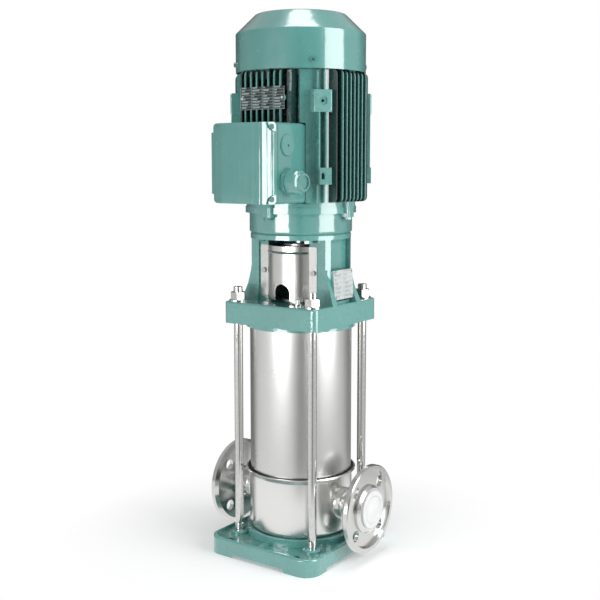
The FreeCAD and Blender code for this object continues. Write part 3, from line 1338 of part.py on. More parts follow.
def rail(shift, reach, low, high, end_r):
    """One upright rail of a foot column, with rounded outer ends."""
    plate = block(CORNER_R - 2 * ROOT, reach, shift - RAIL_THICK / 2, shift + RAIL_THICK / 2, low, high)
    ends = [e for e in plate.Edges if e.BoundBox.YLength > RAIL_THICK / 2 and e.BoundBox.XMin > reach - 0.1]
    return plate.makeFillet(end_r, ends)


def upright_slot(width, height, x0, x1, y, z):
    """Upright slot with round ends, cut along X."""
    shift = (height - width) / 2
    ends = [rod_x(width / 2, x0, x1, y, z - shift), rod_x(width / 2, x0, x1, y, z + shift)]
    return block(x0, x1, y - width / 2, y + width / 2, z - shift, z + shift).fuse(ends)


def corner_rail(sign):
    """Foot column on the +X side: smooth corner, two rails, a foot block and a slotted pad."""
    low = SHIELD_TOP + FRAME_RING_H
    high = FRAME_TOP
    inner = CORNER_R - ROOT
    foot_top = FOOT_BLOCK_Z + FOOT_BLOCK_H
    near, far = sorted((sign * CORNER_NEAR, -sign * CORNER_FAR))
    slab = block(FRAME_CORE_R - 2 * ROOT, FIN_TIP, near, far, low, high)
    pieces = [slab.common(disc(CORNER_R, low, high))]
    for shift in (-RAIL_HALF_PITCH, RAIL_HALF_PITCH):
        pieces.append(rail(shift, FIN_TIP, low, high, CORNER_INSET - BEVEL))
        pieces.append(rail(shift, RAIL_R, FOOT_PAD_Z, foot_top, BEVEL))
    foot = block(inner, FOOT_BLOCK_R, -FOOT_BLOCK_HALF, FOOT_BLOCK_HALF, FOOT_BLOCK_Z, foot_top)
    outer = [e for e in foot.Edges if e.BoundBox.XMin > FOOT_BLOCK_R - 0.1]
    pieces.append(foot.makeFillet(FOOT_BLOCK_EDGE_R, outer))
    pad_near, pad_far = sorted((-sign * FOOT_PAD_NEAR, sign * FOOT_PAD_FAR))
    pieces.append(block(inner, FOOT_BLOCK_R, pad_near, pad_far, FOOT_PAD_Z, FOOT_PAD_Z + FOOT_PAD_H))
    pieces.append(upright_slot(2 * CORNER_PAD_R, CORNER_PAD_H, inner - ROOT, CORNER_R + CORNER_PAD_PROUD,
                               -sign * CORNER_PAD_SHIFT, SHIELD_TOP + CORNER_PAD_RISE + CORNER_PAD_H / 2))
    foot_z = FOOT_BLOCK_Z + FOOT_BLOCK_H / 2
    cuts = [upright_slot(FOOT_PAD_SLOT, FOOT_PAD_SLOT_H, inner + 2 * ROOT, FOOT_BLOCK_R, 0,
                         FOOT_PAD_Z + FOOT_PAD_H / 2),
            rod_x(FOOT_RECESS_R, FOOT_BLOCK_R - FOOT_RECESS, FOOT_BLOCK_R, 0, foot_z),
            rod_x(FOOT_TAP_R, inner + 2 * ROOT, FOOT_BLOCK_R, 0, foot_z)]
    body = pieces[0].fuse(pieces[1:]).cut(cuts)
    return spun(body, -sign * CORNER_ANGLE)


def motor_frame():
    """Finned motor frame with foot columns, a saddle for the terminal box and screw lugs."""
    low = SHIELD_TOP
    fins = fin_group()
    core = disc(FRAME_CORE_R, low, FRAME_TOP)
    rings = [disc(FRAME_RING_R, low, low + FRAME_RING_H),
             disc(FRAME_RING_R, FRAME_TOP - FRAME_RING_H, FRAME_TOP)]
    sides = []
    for angle in QUARTERS:
        sides.extend(spun(item, angle) for item in fins)
    near = corner_rail(1)
    far = corner_rail(-1)
    rails = [near, far, mirrored_x(near), mirrored_x(far)]
    lug = block(FRAME_CORE_R - ROOT, LUG_R, -LUG_WIDTH / 2, LUG_WIDTH / 2, low, LUG_TOP)
    ear = block(FRAME_CORE_R - ROOT, LUG_R, -LUG_WIDTH / 2, LUG_WIDTH / 2, EAR_BOTTOM, FRAME_TOP)
    body = core.fuse(rings + sides + rails + at_angles(lug, QUARTERS) + at_angles(ear, QUARTERS))
    window = block(-BOX_HALF - BOX_CLEAR, BOX_HALF + BOX_CLEAR, -LID_FACE, -SADDLE_HALF,
                   BOX_BOTTOM - BOX_CLEAR, BOX_TOP + BOX_CLEAR)
    window = window.cut(disc(FRAME_CORE_R, low, FRAME_TOP))
    saddle = tube(SADDLE_R, FRAME_CORE_R - ROOT, BOX_BOTTOM + BOX_CLEAR, BOX_TOP - BOX_CLEAR)
    saddle = saddle.common(block(-SADDLE_HALF, SADDLE_HALF, -LID_FACE, -SADDLE_HALF, low, FRAME_TOP))
    boss = rod_y(RATING_BOSS_R, -FIN_TIP, RATING_BOSS_ROOT - FRAME_CORE_R, RATING_HALF - RIVET_INSET,
                 RATING_Z + RATING_H / 2)
    body = body.cut(window).fuse([saddle, boss, mirrored_x(boss)])
    cuts = [disc(FRAME_BORE_R, low, FRAME_TOP), rod_y(BOX_WIRE_HOLE_R, -SADDLE_R, 0, 0, BOX_WIRE_Z)]
    for z0, z1 in ((low, low + LUG_SCREW_GRIP), (FRAME_TOP - LUG_SCREW_GRIP, FRAME_TOP)):
        cuts.extend(at_angles(disc(LUG_SCREW_R + NEST_GAP, z0, z1, LUG_SCREW_RADIUS), QUARTERS))
    return body.cut(cuts).removeSplitter()


def shield_screws():
    """Equal screws that hold both shields to the frame, four below and four above."""
    head = hexagon(LUG_SCREW_HEX, LUG_BOTTOM - LUG_SCREW_HEAD, LUG_BOTTOM)
    lower = head.fuse(disc(LUG_SCREW_R, LUG_BOTTOM, SHIELD_TOP + LUG_SCREW_GRIP))
    seat = FRAME_TOP + REAR_PLATE
    cap = hexagon(LUG_SCREW_HEX, seat, seat + LUG_SCREW_HEAD)
    upper = cap.fuse(disc(LUG_SCREW_R, FRAME_TOP - LUG_SCREW_GRIP, seat))
    screws = at_angles(moved(lower, LUG_SCREW_RADIUS, 0), QUARTERS)
    screws.extend(at_angles(moved(upper, LUG_SCREW_RADIUS, 0), QUARTERS))
    return group(screws)


def rear_shield():
    """Rear end shield with the bearing hub and the lugs that carry the cowl."""
    low = FRAME_TOP
    top = low + REAR_PLATE
    register = FRAME_BORE_R - NEST_GAP
    bearing_top = REAR_BEARING_Z + BEARING_W
    hub_low = REAR_BEARING_Z - REAR_HUB_ROOF
    body = turned([(BEARING_R, hub_low), (REAR_HUB_R - ROOT, hub_low), (REAR_HUB_R - ROOT, low),
                   (register - 1.5 * REGISTER_WALL, low),
                   (register - 1.5 * REGISTER_WALL, low - REGISTER_H), (register, low - REGISTER_H),
                   (register, low), (REAR_SHIELD_R, low), (REAR_SHIELD_R, top), (REAR_HUB_R, top),
                   (REAR_HUB_R, REAR_HUB_TOP), (MOTOR_HOLE_R, REAR_HUB_TOP),
                   (MOTOR_HOLE_R, bearing_top), (BEARING_R, bearing_top)])
    ear = block(REAR_SHIELD_R - 2 * ROOT, LUG_R, -LUG_WIDTH / 2, LUG_WIDTH / 2, low, top)
    lug_z = low + COWL_LUG_RISE
    lug = block(REAR_SHIELD_R - 10.0, COWL_BORE_R, -COWL_LUG_HALF, COWL_LUG_HALF, lug_z, lug_z + COWL_LUG_H)
    lug = lug.common(disc(COWL_BORE_R - NEST_GAP, lug_z, lug_z + COWL_LUG_H))
    cuts = at_angles(disc(LUG_SCREW_R + NEST_GAP, low, top, LUG_SCREW_RADIUS), QUARTERS)
    depth = COWL_R - COWL_SCREW_DEPTH - NEST_GAP
    cuts.extend(at_angles(rod_x(COWL_SCREW_R + NEST_GAP, depth, COWL_R, 0, COWL_SCREW_Z), DIAGONALS))
    return body.fuse(at_angles(ear, QUARTERS) + at_angles(lug, DIAGONALS)).cut(cuts).removeSplitter()


def cooling_fan():
    """Radial fan on the rear shaft end."""
    top = FAN_Z + FAN_H
    pieces = [disc(FAN_HUB_R, FAN_Z, top), disc(FAN_R, FAN_Z, FAN_Z + FAN_DISC)]
    blade = block(FAN_HUB_R - ROOT, FAN_R, -FAN_BLADE / 2, FAN_BLADE / 2, FAN_Z, top - ROOT)
    pieces.extend(spun(blade, 360.0 * index / FAN_BLADES) for index in range(FAN_BLADES))
    return pieces[0].fuse(pieces[1:]).cut(disc(FAN_SEAT_R + RUN_GAP, FAN_Z, top))


def grille_slots():
    """Curved slots in the cowl's top, interrupted by straight spokes."""
    low = COWL_TOP - 3 * COWL_WALL
    high = COWL_TOP + COWL_WALL
    rings = []
    for index in range(GRILLE_RINGS):
        inner = GRILLE_FIRST_R + index * GRILLE_PITCH
        rings.append(tube(inner + GRILLE_SLOT, inner, low, high))
    spoke = block(0, COWL_R, -GRILLE_SPOKE / 2, GRILLE_SPOKE / 2, low, high)
    spokes = [spun(spoke, 360.0 * index / GRILLE_SPOKES) for index in range(GRILLE_SPOKES)]
    return [ring.cut(spokes) for ring in rings]


def fan_cowl():
    """Pressed cowl over the fan, with a conical shoulder and an air grille on top."""
    outer = turned([(0, COWL_BOTTOM), (COWL_R, COWL_BOTTOM), (COWL_R, COWL_SHOULDER), (COWL_TOP_R, COWL_TOP),
                    (0, COWL_TOP)])
    outer = outer.makeFillet(COWL_TOP_EDGE_R, level_edges(outer, COWL_TOP, COWL_TOP_R - 1.0))
    outer = outer.makeFillet(COWL_SHOULDER_EDGE_R, level_edges(outer, COWL_SHOULDER, COWL_R - 1.0))
    top = COWL_TOP - COWL_WALL
    slope = math.atan2(COWL_TOP - COWL_SHOULDER, COWL_R - COWL_TOP_R)
    step = COWL_WALL * math.tan(slope / 2)
    inner_top_r = COWL_TOP_R - COWL_WALL * math.tan((math.pi / 2 - slope) / 2)
    cavity = turned([(0, COWL_BOTTOM), (COWL_BORE_R, COWL_BOTTOM), (COWL_BORE_R, COWL_SHOULDER - step),
                     (inner_top_r, top), (0, top)])
    cavity = cavity.makeFillet(COWL_TOP_EDGE_R - COWL_WALL, level_edges(cavity, top, inner_top_r - 1.0))
    hole = rod_x(COWL_SCREW_R + NEST_GAP, COWL_BORE_R - COWL_WALL, COWL_R, 0, COWL_SCREW_Z)
    return outer.cut(cavity).cut(grille_slots() + at_angles(hole, DIAGONALS))


def cowl_screws():
    """Four screws around the cowl's lower edge."""
    head = rod_x(COWL_SCREW_HEAD_R, COWL_R, COWL_R + COWL_SCREW_HEAD, 0, COWL_SCREW_Z)
    shank = rod_x(COWL_SCREW_R, COWL_R - COWL_SCREW_DEPTH, COWL_R, 0, COWL_SCREW_Z)
    return group(at_angles(head.fuse(shank), DIAGONALS))


# Terminal box
def box_corners():
    """X and Z places of the lid screws."""
    x = BOX_HALF - LID_SCREW_INSET
    return [(sx * x, z) for sx in (-1, 1) for z in (BOX_BOTTOM + LID_SCREW_INSET, BOX_TOP - LID_SCREW_INSET)]


def box_outline(y0, y1, corner):
    """Block of the terminal box's outline between two depths in front of the motor."""
    body = block(-BOX_HALF, BOX_HALF, -y1, -y0, BOX_BOTTOM, BOX_TOP)
    edges = [e for e in body.Edges if e.BoundBox.YLength > (y1 - y0) / 2]
    return body.makeFillet(corner, edges)


def terminal_box():
    """Hollow box seated on the frame's saddle, with screw posts and cable entries."""
    body = box_outline(BOX_BACK, BOX_FRONT, BOX_EDGE_R)
    back = SADDLE_R + BOX_BACK_WALL
    hollow = block(-BOX_HALF + BOX_WALL, BOX_HALF - BOX_WALL, -BOX_FRONT, -back,
                   BOX_BOTTOM + BOX_WALL, BOX_TOP - BOX_WALL)
    posts = [rod_y(LID_POST_R, -BOX_FRONT, -back, x, z) for x, z in box_corners()]
    body = body.cut(hollow.cut(posts))
    cuts = [disc(SADDLE_R + NEST_GAP, BOX_BOTTOM, BOX_TOP), rod_y(BOX_WIRE_HOLE_R, -back, 0, 0, BOX_WIRE_Z),
            rod_x(ENTRY_R + NEST_GAP, 0, BOX_HALF, -ENTRY_Y, PLUG_Z),
            rod_x(ENTRY_R + NEST_GAP, 0, BOX_HALF, -ENTRY_Y, GLAND_Z)]
    for x, z in box_corners():
        cuts.append(rod_y(LID_SCREW_R + NEST_GAP, -BOX_FRONT, -BOX_FRONT + LID_SCREW_SHANK, x, z))
    return body.cut(cuts).removeSplitter()


def lid_gasket():
    """Flat seal between the box and its lid."""
    outer = box_outline(BOX_FRONT, LID_BACK, BOX_EDGE_R)
    inner = block(-BOX_HALF + 2 * BOX_WALL, BOX_HALF - 2 * BOX_WALL, -LID_BACK, -BOX_FRONT,
                  BOX_BOTTOM + 2 * BOX_WALL, BOX_TOP - 2 * BOX_WALL)
    posts = [rod_y(2 * LID_POST_R, -LID_BACK, -BOX_FRONT, x, z) for x, z in box_corners()]
    holes = [rod_y(LID_SCREW_R + NEST_GAP, -LID_BACK, -BOX_FRONT, x, z) for x, z in box_corners()]
    return outer.cut(inner.cut(posts)).cut(holes).removeSplitter()


def terminal_lid():
    """Crowned lid whose corners are notched down to thin screw ears."""
    ears = box_outline(LID_BACK, LID_EAR_FACE, BOX_EDGE_R)
    dome = box_outline(LID_EAR_FACE, LID_FACE, BOX_EDGE_R)
    bend = (BOX_HALF ** 2 + LID_CROWN ** 2) / (2 * LID_CROWN)
    dome = dome.common(Part.makeCylinder(bend, BOX_H, V(0, -LID_FACE + bend, BOX_BOTTOM)))
    notches = []
    for sx in (-1, 1):
        for z in (BOX_BOTTOM, BOX_TOP):
            notches.append(rod_y(LID_NOTCH_R, -LID_FACE, -LID_EAR_FACE, sx * BOX_HALF, z))
    holes = [rod_y(LID_SCREW_R + NEST_GAP, -LID_EAR_FACE, -LID_BACK, x, z) for x, z in box_corners()]
    return ears.fuse(dome.cut(notches)).cut(holes).removeSplitter()


def lid_screws():
    """Four pan-head screws in the lid's corner ears."""
    screws = []
    for x, z in box_corners():
        head = rod_y(LID_SCREW_HEAD_R, -LID_EAR_FACE - LID_SCREW_HEAD, -LID_EAR_FACE, x, z)
        shank = rod_y(LID_SCREW_R, -LID_EAR_FACE, -BOX_FRONT + LID_SCREW_SHANK - 1.0, x, z)
        screws.append(head.fuse(shank))
    return group(screws)


def terminal_block():
    """Six-stud terminal block on the back wall of the box."""
    back = SADDLE_R + BOX_BACK_WALL
    low = BOX_WIRE_Z + BOX_WIRE_HOLE_R + 3.0
    body = block(-BLOCK_HALF, BLOCK_HALF, -back - BLOCK_DEPTH, -back, low, low + BLOCK_H)
    studs = []
    for column in (-1, 0, 1):
        for row in (0.25, 0.75):
            x = column * BLOCK_HALF * 0.62
            studs.append(rod_y(BLOCK_STUD_R, -back - BLOCK_DEPTH - BLOCK_STUD, -back - BLOCK_DEPTH + 1.0,
                               x, low + row * BLOCK_H))
    return body.fuse(studs)


def blank_plug():
    """Round blanking plug in the upper cable entry."""
    head_end = BOX_HALF + PLUG_HEAD
    profile = [(BOX_HALF - BOX_WALL, 0), (BOX_HALF - BOX_WALL, ENTRY_R), (BOX_HALF, ENTRY_R),
               (BOX_HALF, PLUG_R),
               (head_end - 1.0, PLUG_R), (head_end, PLUG_R - 1.0), (head_end, PLUG_DIMPLE_R),
               (head_end - 1.5, PLUG_DIMPLE_R), (head_end - 1.5, 0)]
    return turned_x(profile, PLUG_Z, -ENTRY_Y)


def gland_body():
    """Cable gland body: hexagon on the wall, threaded neck inside and outside."""
    hexagon_end = BOX_HALF + GLAND_HEX_H
    neck_end = hexagon_end + GLAND_NUT_LENGTH / 2
    body = hexagon(GLAND_HEX, BOX_HALF, hexagon_end)
    body = body.fuse([disc(ENTRY_R, BOX_HALF - BOX_WALL, BOX_HALF),
                      disc(GLAND_NECK_R, hexagon_end, neck_end)])
    body = body.cut(disc(GLAND_BORE_R, BOX_HALF - BOX_WALL, neck_end))
    return along_x(body, -ENTRY_Y, GLAND_Z)


def gland_nut():
    """Domed clamping nut of the gland."""
    start = BOX_HALF + GLAND_HEX_H + NEST_GAP
    neck_end = BOX_HALF + GLAND_HEX_H + GLAND_NUT_LENGTH / 2
    shoulder = start + GLAND_NUT_LENGTH
    profile = [(start, GLAND_NECK_R + NEST_GAP), (start, GLAND_NUT_R - 1.0), (start + 1.0, GLAND_NUT_R),
               (shoulder - 3.0, GLAND_NUT_R), (shoulder, GLAND_NUT_R - 1.5), (shoulder + 1.5, GLAND_END_R),
               (GLAND_END_X - 1.0, GLAND_END_R), (GLAND_END_X, GLAND_END_R - 1.0),
               (GLAND_END_X, GLAND_BORE_R + NEST_GAP), (neck_end + NEST_GAP, GLAND_BORE_R + NEST_GAP),
               (neck_end + NEST_GAP, GLAND_NECK_R + NEST_GAP)]
    return turned_x(profile, GLAND_Z, -ENTRY_Y)


def gland_bung():
    """Plug that closes the unused gland."""
    end = GLAND_END_X - GLAND_BUNG_DEPTH
    return rod_x(GLAND_BORE_R, end - GLAND_BUNG_LENGTH, end, -ENTRY_Y, GLAND_Z)


def rating_plate():
    """Motor's rating plate, lying on the fin tips above the terminal box."""
    return block(-RATING_HALF, RATING_HALF, -FIN_TIP - PLATE_THICK, -FIN_TIP, RATING_Z, RATING_Z + RATING_H)


NODES = {
    "base_plate": base_plate,
    "port_chamber": port_chamber,
    "port_necks": port_necks,
    "drain_plug": drain_plug,
    "inlet_bowl": inlet_bowl,
    "discharge_flange": flange_ring,
    "suction_flange": lambda: mirrored_x(flange_ring()),
    "discharge_cap": port_cap,
    "suction_cap": lambda: mirrored_x(port_cap()),
    "outer_sleeve": outer_sleeve,
    "sleeve_seal_rings": sleeve_seal_rings,
    "staybolts": staybolts,
    "staybolt_washers": staybolt_washers,
    "staybolt_nuts": staybolt_nuts,
    "motor_stool": motor_stool,
    "head_cover": head_cover,
    "coupling_guards": coupling_guards,
    "guard_screws": guard_screws,
    "vent_screw": vent_screw,
    "label_plate": label_plate,
    "plate_rivets": plate_rivets,
    "stage_chambers": stage_chambers,
    "neck_rings": neck_rings,
    "stage_straps": stage_straps,
    "impellers": impellers,
    "stage_spacers": stage_spacers,
    "pump_shaft": pump_shaft,
    "shaft_nut": shaft_nut,
    "journal_sleeve": journal_sleeve,
    "journal_ring": journal_ring,
    "seal_cover": seal_cover,
    "seal_seat": seal_seat,
    "seal_ring": seal_ring,
    "seal_bellows": seal_bellows,
    "coupling_halves": coupling_halves,
    "coupling_bolts": coupling_bolts,
    "motor_shaft": motor_shaft,
    "rotor_core": rotor_core,
    "stator_core": stator_core,
    "stator_winding": stator_winding,
    "bearing_outer_rings": bearing_outer_rings,
    "bearing_rolling_sets": bearing_rolling_sets,
    "motor_flange": motor_flange,
    "motor_bolts": motor_bolts,
    "motor_frame": motor_frame,
    "shield_screws": shield_screws,
    "rear_shield": rear_shield,
    "cooling_fan": cooling_fan,
    "fan_cowl": fan_cowl,
    "cowl_screws": cowl_screws,
    "terminal_box": terminal_box,
    "terminal_block": terminal_block,
    "lid_gasket": lid_gasket,
    "terminal_lid": terminal_lid,
    "lid_screws": lid_screws,
    "blank_plug": blank_plug,
    "gland_body": gland_body,
    "gland_nut": gland_nut,
    "gland_bung": gland_bung,
    "rating_plate": rating_plate,
}

os.makedirs("parts", exist_ok=True)
for name, make in NODES.items():
    shape = make()
    shape.exportStep(os.path.join("parts", name + ".step"))
    print(name, len(shape.Solids), round(shape.Volume / 1000.0, 2), shape.isValid())
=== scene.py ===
"""Studio look of a vertical multistage pump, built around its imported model."""

import logging
import math
from dataclasses import dataclass
from enum import Enum

import bmesh
import bpy
from mathutils import Matrix, Vector


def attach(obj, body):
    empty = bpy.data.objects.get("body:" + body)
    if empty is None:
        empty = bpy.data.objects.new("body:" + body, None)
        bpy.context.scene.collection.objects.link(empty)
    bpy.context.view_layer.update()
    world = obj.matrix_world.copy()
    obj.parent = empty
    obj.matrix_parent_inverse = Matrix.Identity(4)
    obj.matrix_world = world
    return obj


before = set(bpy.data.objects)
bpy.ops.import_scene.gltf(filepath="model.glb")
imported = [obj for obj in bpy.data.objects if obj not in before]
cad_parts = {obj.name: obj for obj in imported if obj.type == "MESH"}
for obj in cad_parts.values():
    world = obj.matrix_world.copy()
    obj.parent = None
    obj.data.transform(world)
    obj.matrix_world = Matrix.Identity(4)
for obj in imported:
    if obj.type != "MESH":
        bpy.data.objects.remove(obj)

LOG = logging.getLogger("pump")
Colour = tuple[float, float, float]
Point = tuple[float, float, float]
Span = tuple[float, float]
Levels = tuple[tuple[float, float], ...]
Socket = bpy.types.NodeSocket

# Height of both port axes above the floor, in metres.
PORT_HEIGHT = 0.084

WHITE: Colour = (1.0, 1.0, 1.0)
TEAL: Colour = (0.094, 0.282, 0.258)
BRIGHT_STEEL: Colour = (0.68, 0.68, 0.665)

# Grey levels of the room's walls and of the floor by bearing in degrees, seen by polished surfaces.
WALL_LEVELS: Levels = (
    (-180, 0.20), (-160, 0.36), (-112, 0.40), (-76, 0.32), (-59, 0.06), (-31, 0.06),
    (-14, 0.35), (43, 0.55), (60, 0.5), (77, 0.08), (167, 0.08), (180, 0.30))
FLOOR_LEVELS: Levels = (
    (-180, 0.2), (-163, 0.9), (-117, 0.9), (-108, 0.84), (-90, 0.82), (-73, 0.7),
    (-65, 0.5), (-62, 0.03), (-52, 0.03), (-49, 0.45), (-15, 0.62), (43, 0.64),
    (58, 0.55), (70, 0.12), (172, 0.12), (180, 0.2))


class Grain(Enum):
    """Direction in which a metal surface was brushed, turned or cast."""

    PLAIN = "plain"
    ALONG_Z = "along_z"
    AROUND_Z = "around_z"
    AROUND_PORTS = "around_ports"


def shade(colour: Colour, factor: float) -> Colour:
    """Give a darker or lighter copy of a colour."""
    return tuple(min(1.0, channel * factor) for channel in colour)


class Graph:
    """One node tree, with short calls that add and wire nodes."""

    def __init__(self, tree: bpy.types.NodeTree) -> None:
        """Take over the node tree of a material or of the world."""
        self.tree = tree

    def add(self, kind: str, **settings: object) -> bpy.types.Node:
        """Add a node.

        Args:
            kind: Blender's name of the node type.
            settings: Properties to set on the node.

        Returns:
            The new node.
        """
        node = self.tree.nodes.new(kind)
        for key, value in settings.items():
            setattr(node, key, value)
        return node

    def wire(self, source: Socket, target: Socket) -> None:
        """Join an output socket to an input socket."""
        self.tree.links.new(source, target)

    def feed(self, value: object, target: Socket) -> None:
        """Give an input socket its value.

        Args:
            value: Number, colour, or the socket that it comes from.
            target: Input socket.
        """
        if isinstance(value, bpy.types.NodeSocket):
            self.wire(value, target)
        else:
            target.default_value = (*value, 1.0) if isinstance(value, tuple) else value

    def math(self, operation: str, first: object, second: object = 0.0) -> Socket:
        """Add a Math node.

        Args:
            operation: Name of the operation.
            first: Socket or number.
            second: Socket or number.

        Returns:
            The result socket.
        """
        node = self.add("ShaderNodeMath", operation=operation)
        self.feed(first, node.inputs[0])
        self.feed(second, node.inputs[1])
        return node.outputs[0]

    def times(self, first: Socket, *others: object) -> Socket:
        """Multiply a socket by other sockets or numbers.

        Args:
            first: Socket to start from.
            others: Sockets or numbers.

        Returns:
            The product socket.
        """
        for other in others:
            first = self.math("MULTIPLY", first, other)
        return first

    def radius(self, first: Socket, second: Socket) -> Socket:
        """Work out the distance from an axis.

        Args:
            first: Offset from the axis one way.
            second: Offset from the axis the other way.

        Returns:
            The distance socket.
        """
        squares = self.math("ADD", self.times(first, first), self.times(second, second))
        return self.math("SQRT", squares)

    def join(self, x: object, y: object, z: object) -> Socket:
        """Combine a vector.

        Args:
            x: Socket or number.
            y: Socket or number.
            z: Socket or number.

        Returns:
            The vector socket.
        """
        node = self.add("ShaderNodeCombineXYZ")
        for index, value in enumerate((x, y, z)):
            self.feed(value, node.inputs[index])
        return node.outputs[0]

    def split(self, vector: Socket) -> tuple[Socket, Socket, Socket]:
        """Separate a vector.

        Args:
            vector: Vector socket.

        Returns:
            Its X, Y and Z sockets.
        """
        node = self.add("ShaderNodeSeparateXYZ")
        self.wire(vector, node.inputs[0])
        return node.outputs[0], node.outputs[1], node.outputs[2]

    def span(self, value: Socket, low: float, high: float,
             start: float = 0.3, end: float = 0.7) -> Socket:
        """Map a value to a new range, held at its ends.

        Args:
            value: Value to map.
            low: Result at the start.
            high: Result at the end.
            start: Value that gives low; the default suits a noise pattern.
            end: Value that gives high; the default suits a noise pattern.

        Returns:
            The mapped socket.
        """
        node = self.add("ShaderNodeMapRange")
        numbers = {"From Min": start, "From Max": end, "To Min": low, "To Max": high}
        for name, number in numbers.items():
            node.inputs[name].default_value = number
        self.wire(value, node.inputs["Value"])
        return node.outputs["Result"]

    def blend(self, factor: object, first: object, second: object) -> Socket:
        """Mix two colours by a factor.

        Args:
            factor: Share of the second colour.
            first: Colour or colour socket.
            second: Colour or colour socket.

        Returns:
            The mixed colour socket.
        """
        node = self.add("ShaderNodeMix", data_type="RGBA")
        self.feed(factor, node.inputs["Factor"])
        self.feed(first, node.inputs[6])
        self.feed(second, node.inputs[7])
        return node.outputs[2]

    def glow(self, colour: object, strength: object) -> Socket:
        """Add an Emission shader.

        Args:
            colour: Colour or colour socket.
            strength: Number or socket.

        Returns:
            The shader socket.
        """
        node = self.add("ShaderNodeEmission")
        self.feed(colour, node.inputs["Color"])
        self.feed(strength, node.inputs["Strength"])
        return node.outputs[0]

    def cover(self, share: Socket, under: Socket, over: Socket) -> Socket:
        """Mix two shaders.

        Args:
            share: Share of the upper shader.
            under: Lower shader.
            over: Upper shader.

        Returns:
            The mixed shader socket.
        """
        node = self.add("ShaderNodeMixShader")
        for index, socket in enumerate((share, under, over)):
            self.wire(socket, node.inputs[index])
        return node.outputs[0]

    def rays(self) -> tuple[Socket, Socket]:
        """Tell apart the rays that meet the studio.

        Returns:
            A socket that is one for the camera's own rays, and a socket that is one for rays
            that come off polished surfaces or through clear ones.
        """
        path = self.add("ShaderNodeLightPath").outputs
        return path["Is Camera Ray"], self.math(
            "MAXIMUM", path["Is Glossy Ray"], path["Is Transmission Ray"])

    def levels_round(self, x: Socket, y: Socket, levels: Levels) -> Socket:
        """Give the brightness of the studio by compass bearing.

        Args:
            x: X part of a direction from the pump.
            y: Y part of a direction from the pump.
            levels: Bearings in degrees from -180 to 180, each with its grey level.

        Returns:
            A colour socket with the grey level.
        """
        share = self.span(self.math("ARCTAN2", y, x), 0.0, 1.0, -math.pi, math.pi)
        ramp = self.add("ShaderNodeValToRGB")
        elements = ramp.color_ramp.elements
        for element, (_, level) in zip((elements[0], elements[1]), (levels[0], levels[-1])):
            element.color = (level, level, level, 1.0)
        for bearing, level in levels[1:-1]:
            elements.new((bearing + 180.0) / 360.0).color = (level, level, level, 1.0)
        self.wire(share, ramp.inputs[0])
        return ramp.outputs[0]


class Surface(Graph):
    """Node tree of a material that is read in object coordinates."""

    def __init__(self, name: str) -> None:
        """Start a material that holds one Principled shader.

        Args:
            name: Name of the new material.
        """
        self.material = bpy.data.materials.new(name)
        self.material.use_nodes = True
        super().__init__(self.material.node_tree)
        self.shader = self.tree.nodes["Principled BSDF"]
        self.place = self.add("ShaderNodeTexCoord").outputs["Object"]
        self.relief: Socket | None = None

    def set(self, socket: str, value: object) -> None:
        """Give the Principled shader a number, a colour or a pattern."""
        self.feed(value, self.shader.inputs[socket])

    def noise(self, scale: float, detail: float = 2.0, rough: float = 0.5,
              place: Socket | None = None) -> Socket:
        """Add a noise pattern.

        Args:
            scale: Cells in a metre.
            detail: Octaves of finer noise.
            rough: Weight of the finer octaves.
            place: Coordinates to read, or the object's own.

        Returns:
            The pattern's value socket.
        """
        node = self.add("ShaderNodeTexNoise")
        node.inputs["Scale"].default_value = scale
        node.inputs["Detail"].default_value = detail
        node.inputs["Roughness"].default_value = rough
        self.wire(place or self.place, node.inputs["Vector"])
        return node.outputs["Fac"]

    def emboss(self, height: Socket, distance: float) -> None:
        """Add a layer of relief.

        Args:
            height: Pattern that gives the relief.
            distance: Height in metres at a pattern value of one.
        """
        node = self.add("ShaderNodeBump")
        node.inputs["Distance"].default_value = distance
        self.wire(height, node.inputs["Height"])
        if self.relief:
            self.wire(self.relief, node.inputs["Normal"])
        self.relief = node.outputs["Normal"]
        self.wire(self.relief, self.shader.inputs["Normal"])

    def tones(self, pattern: Socket, colour: Colour, shades: Span) -> Socket:
        """Vary a colour between two shades of itself.

        Args:
            pattern: Share of the second shade.
            colour: Colour to vary.
            shades: Factors of the two shades.

        Returns:
            The varied colour socket.
        """
        return self.blend(pattern, shade(colour, shades[0]), shade(colour, shades[1]))


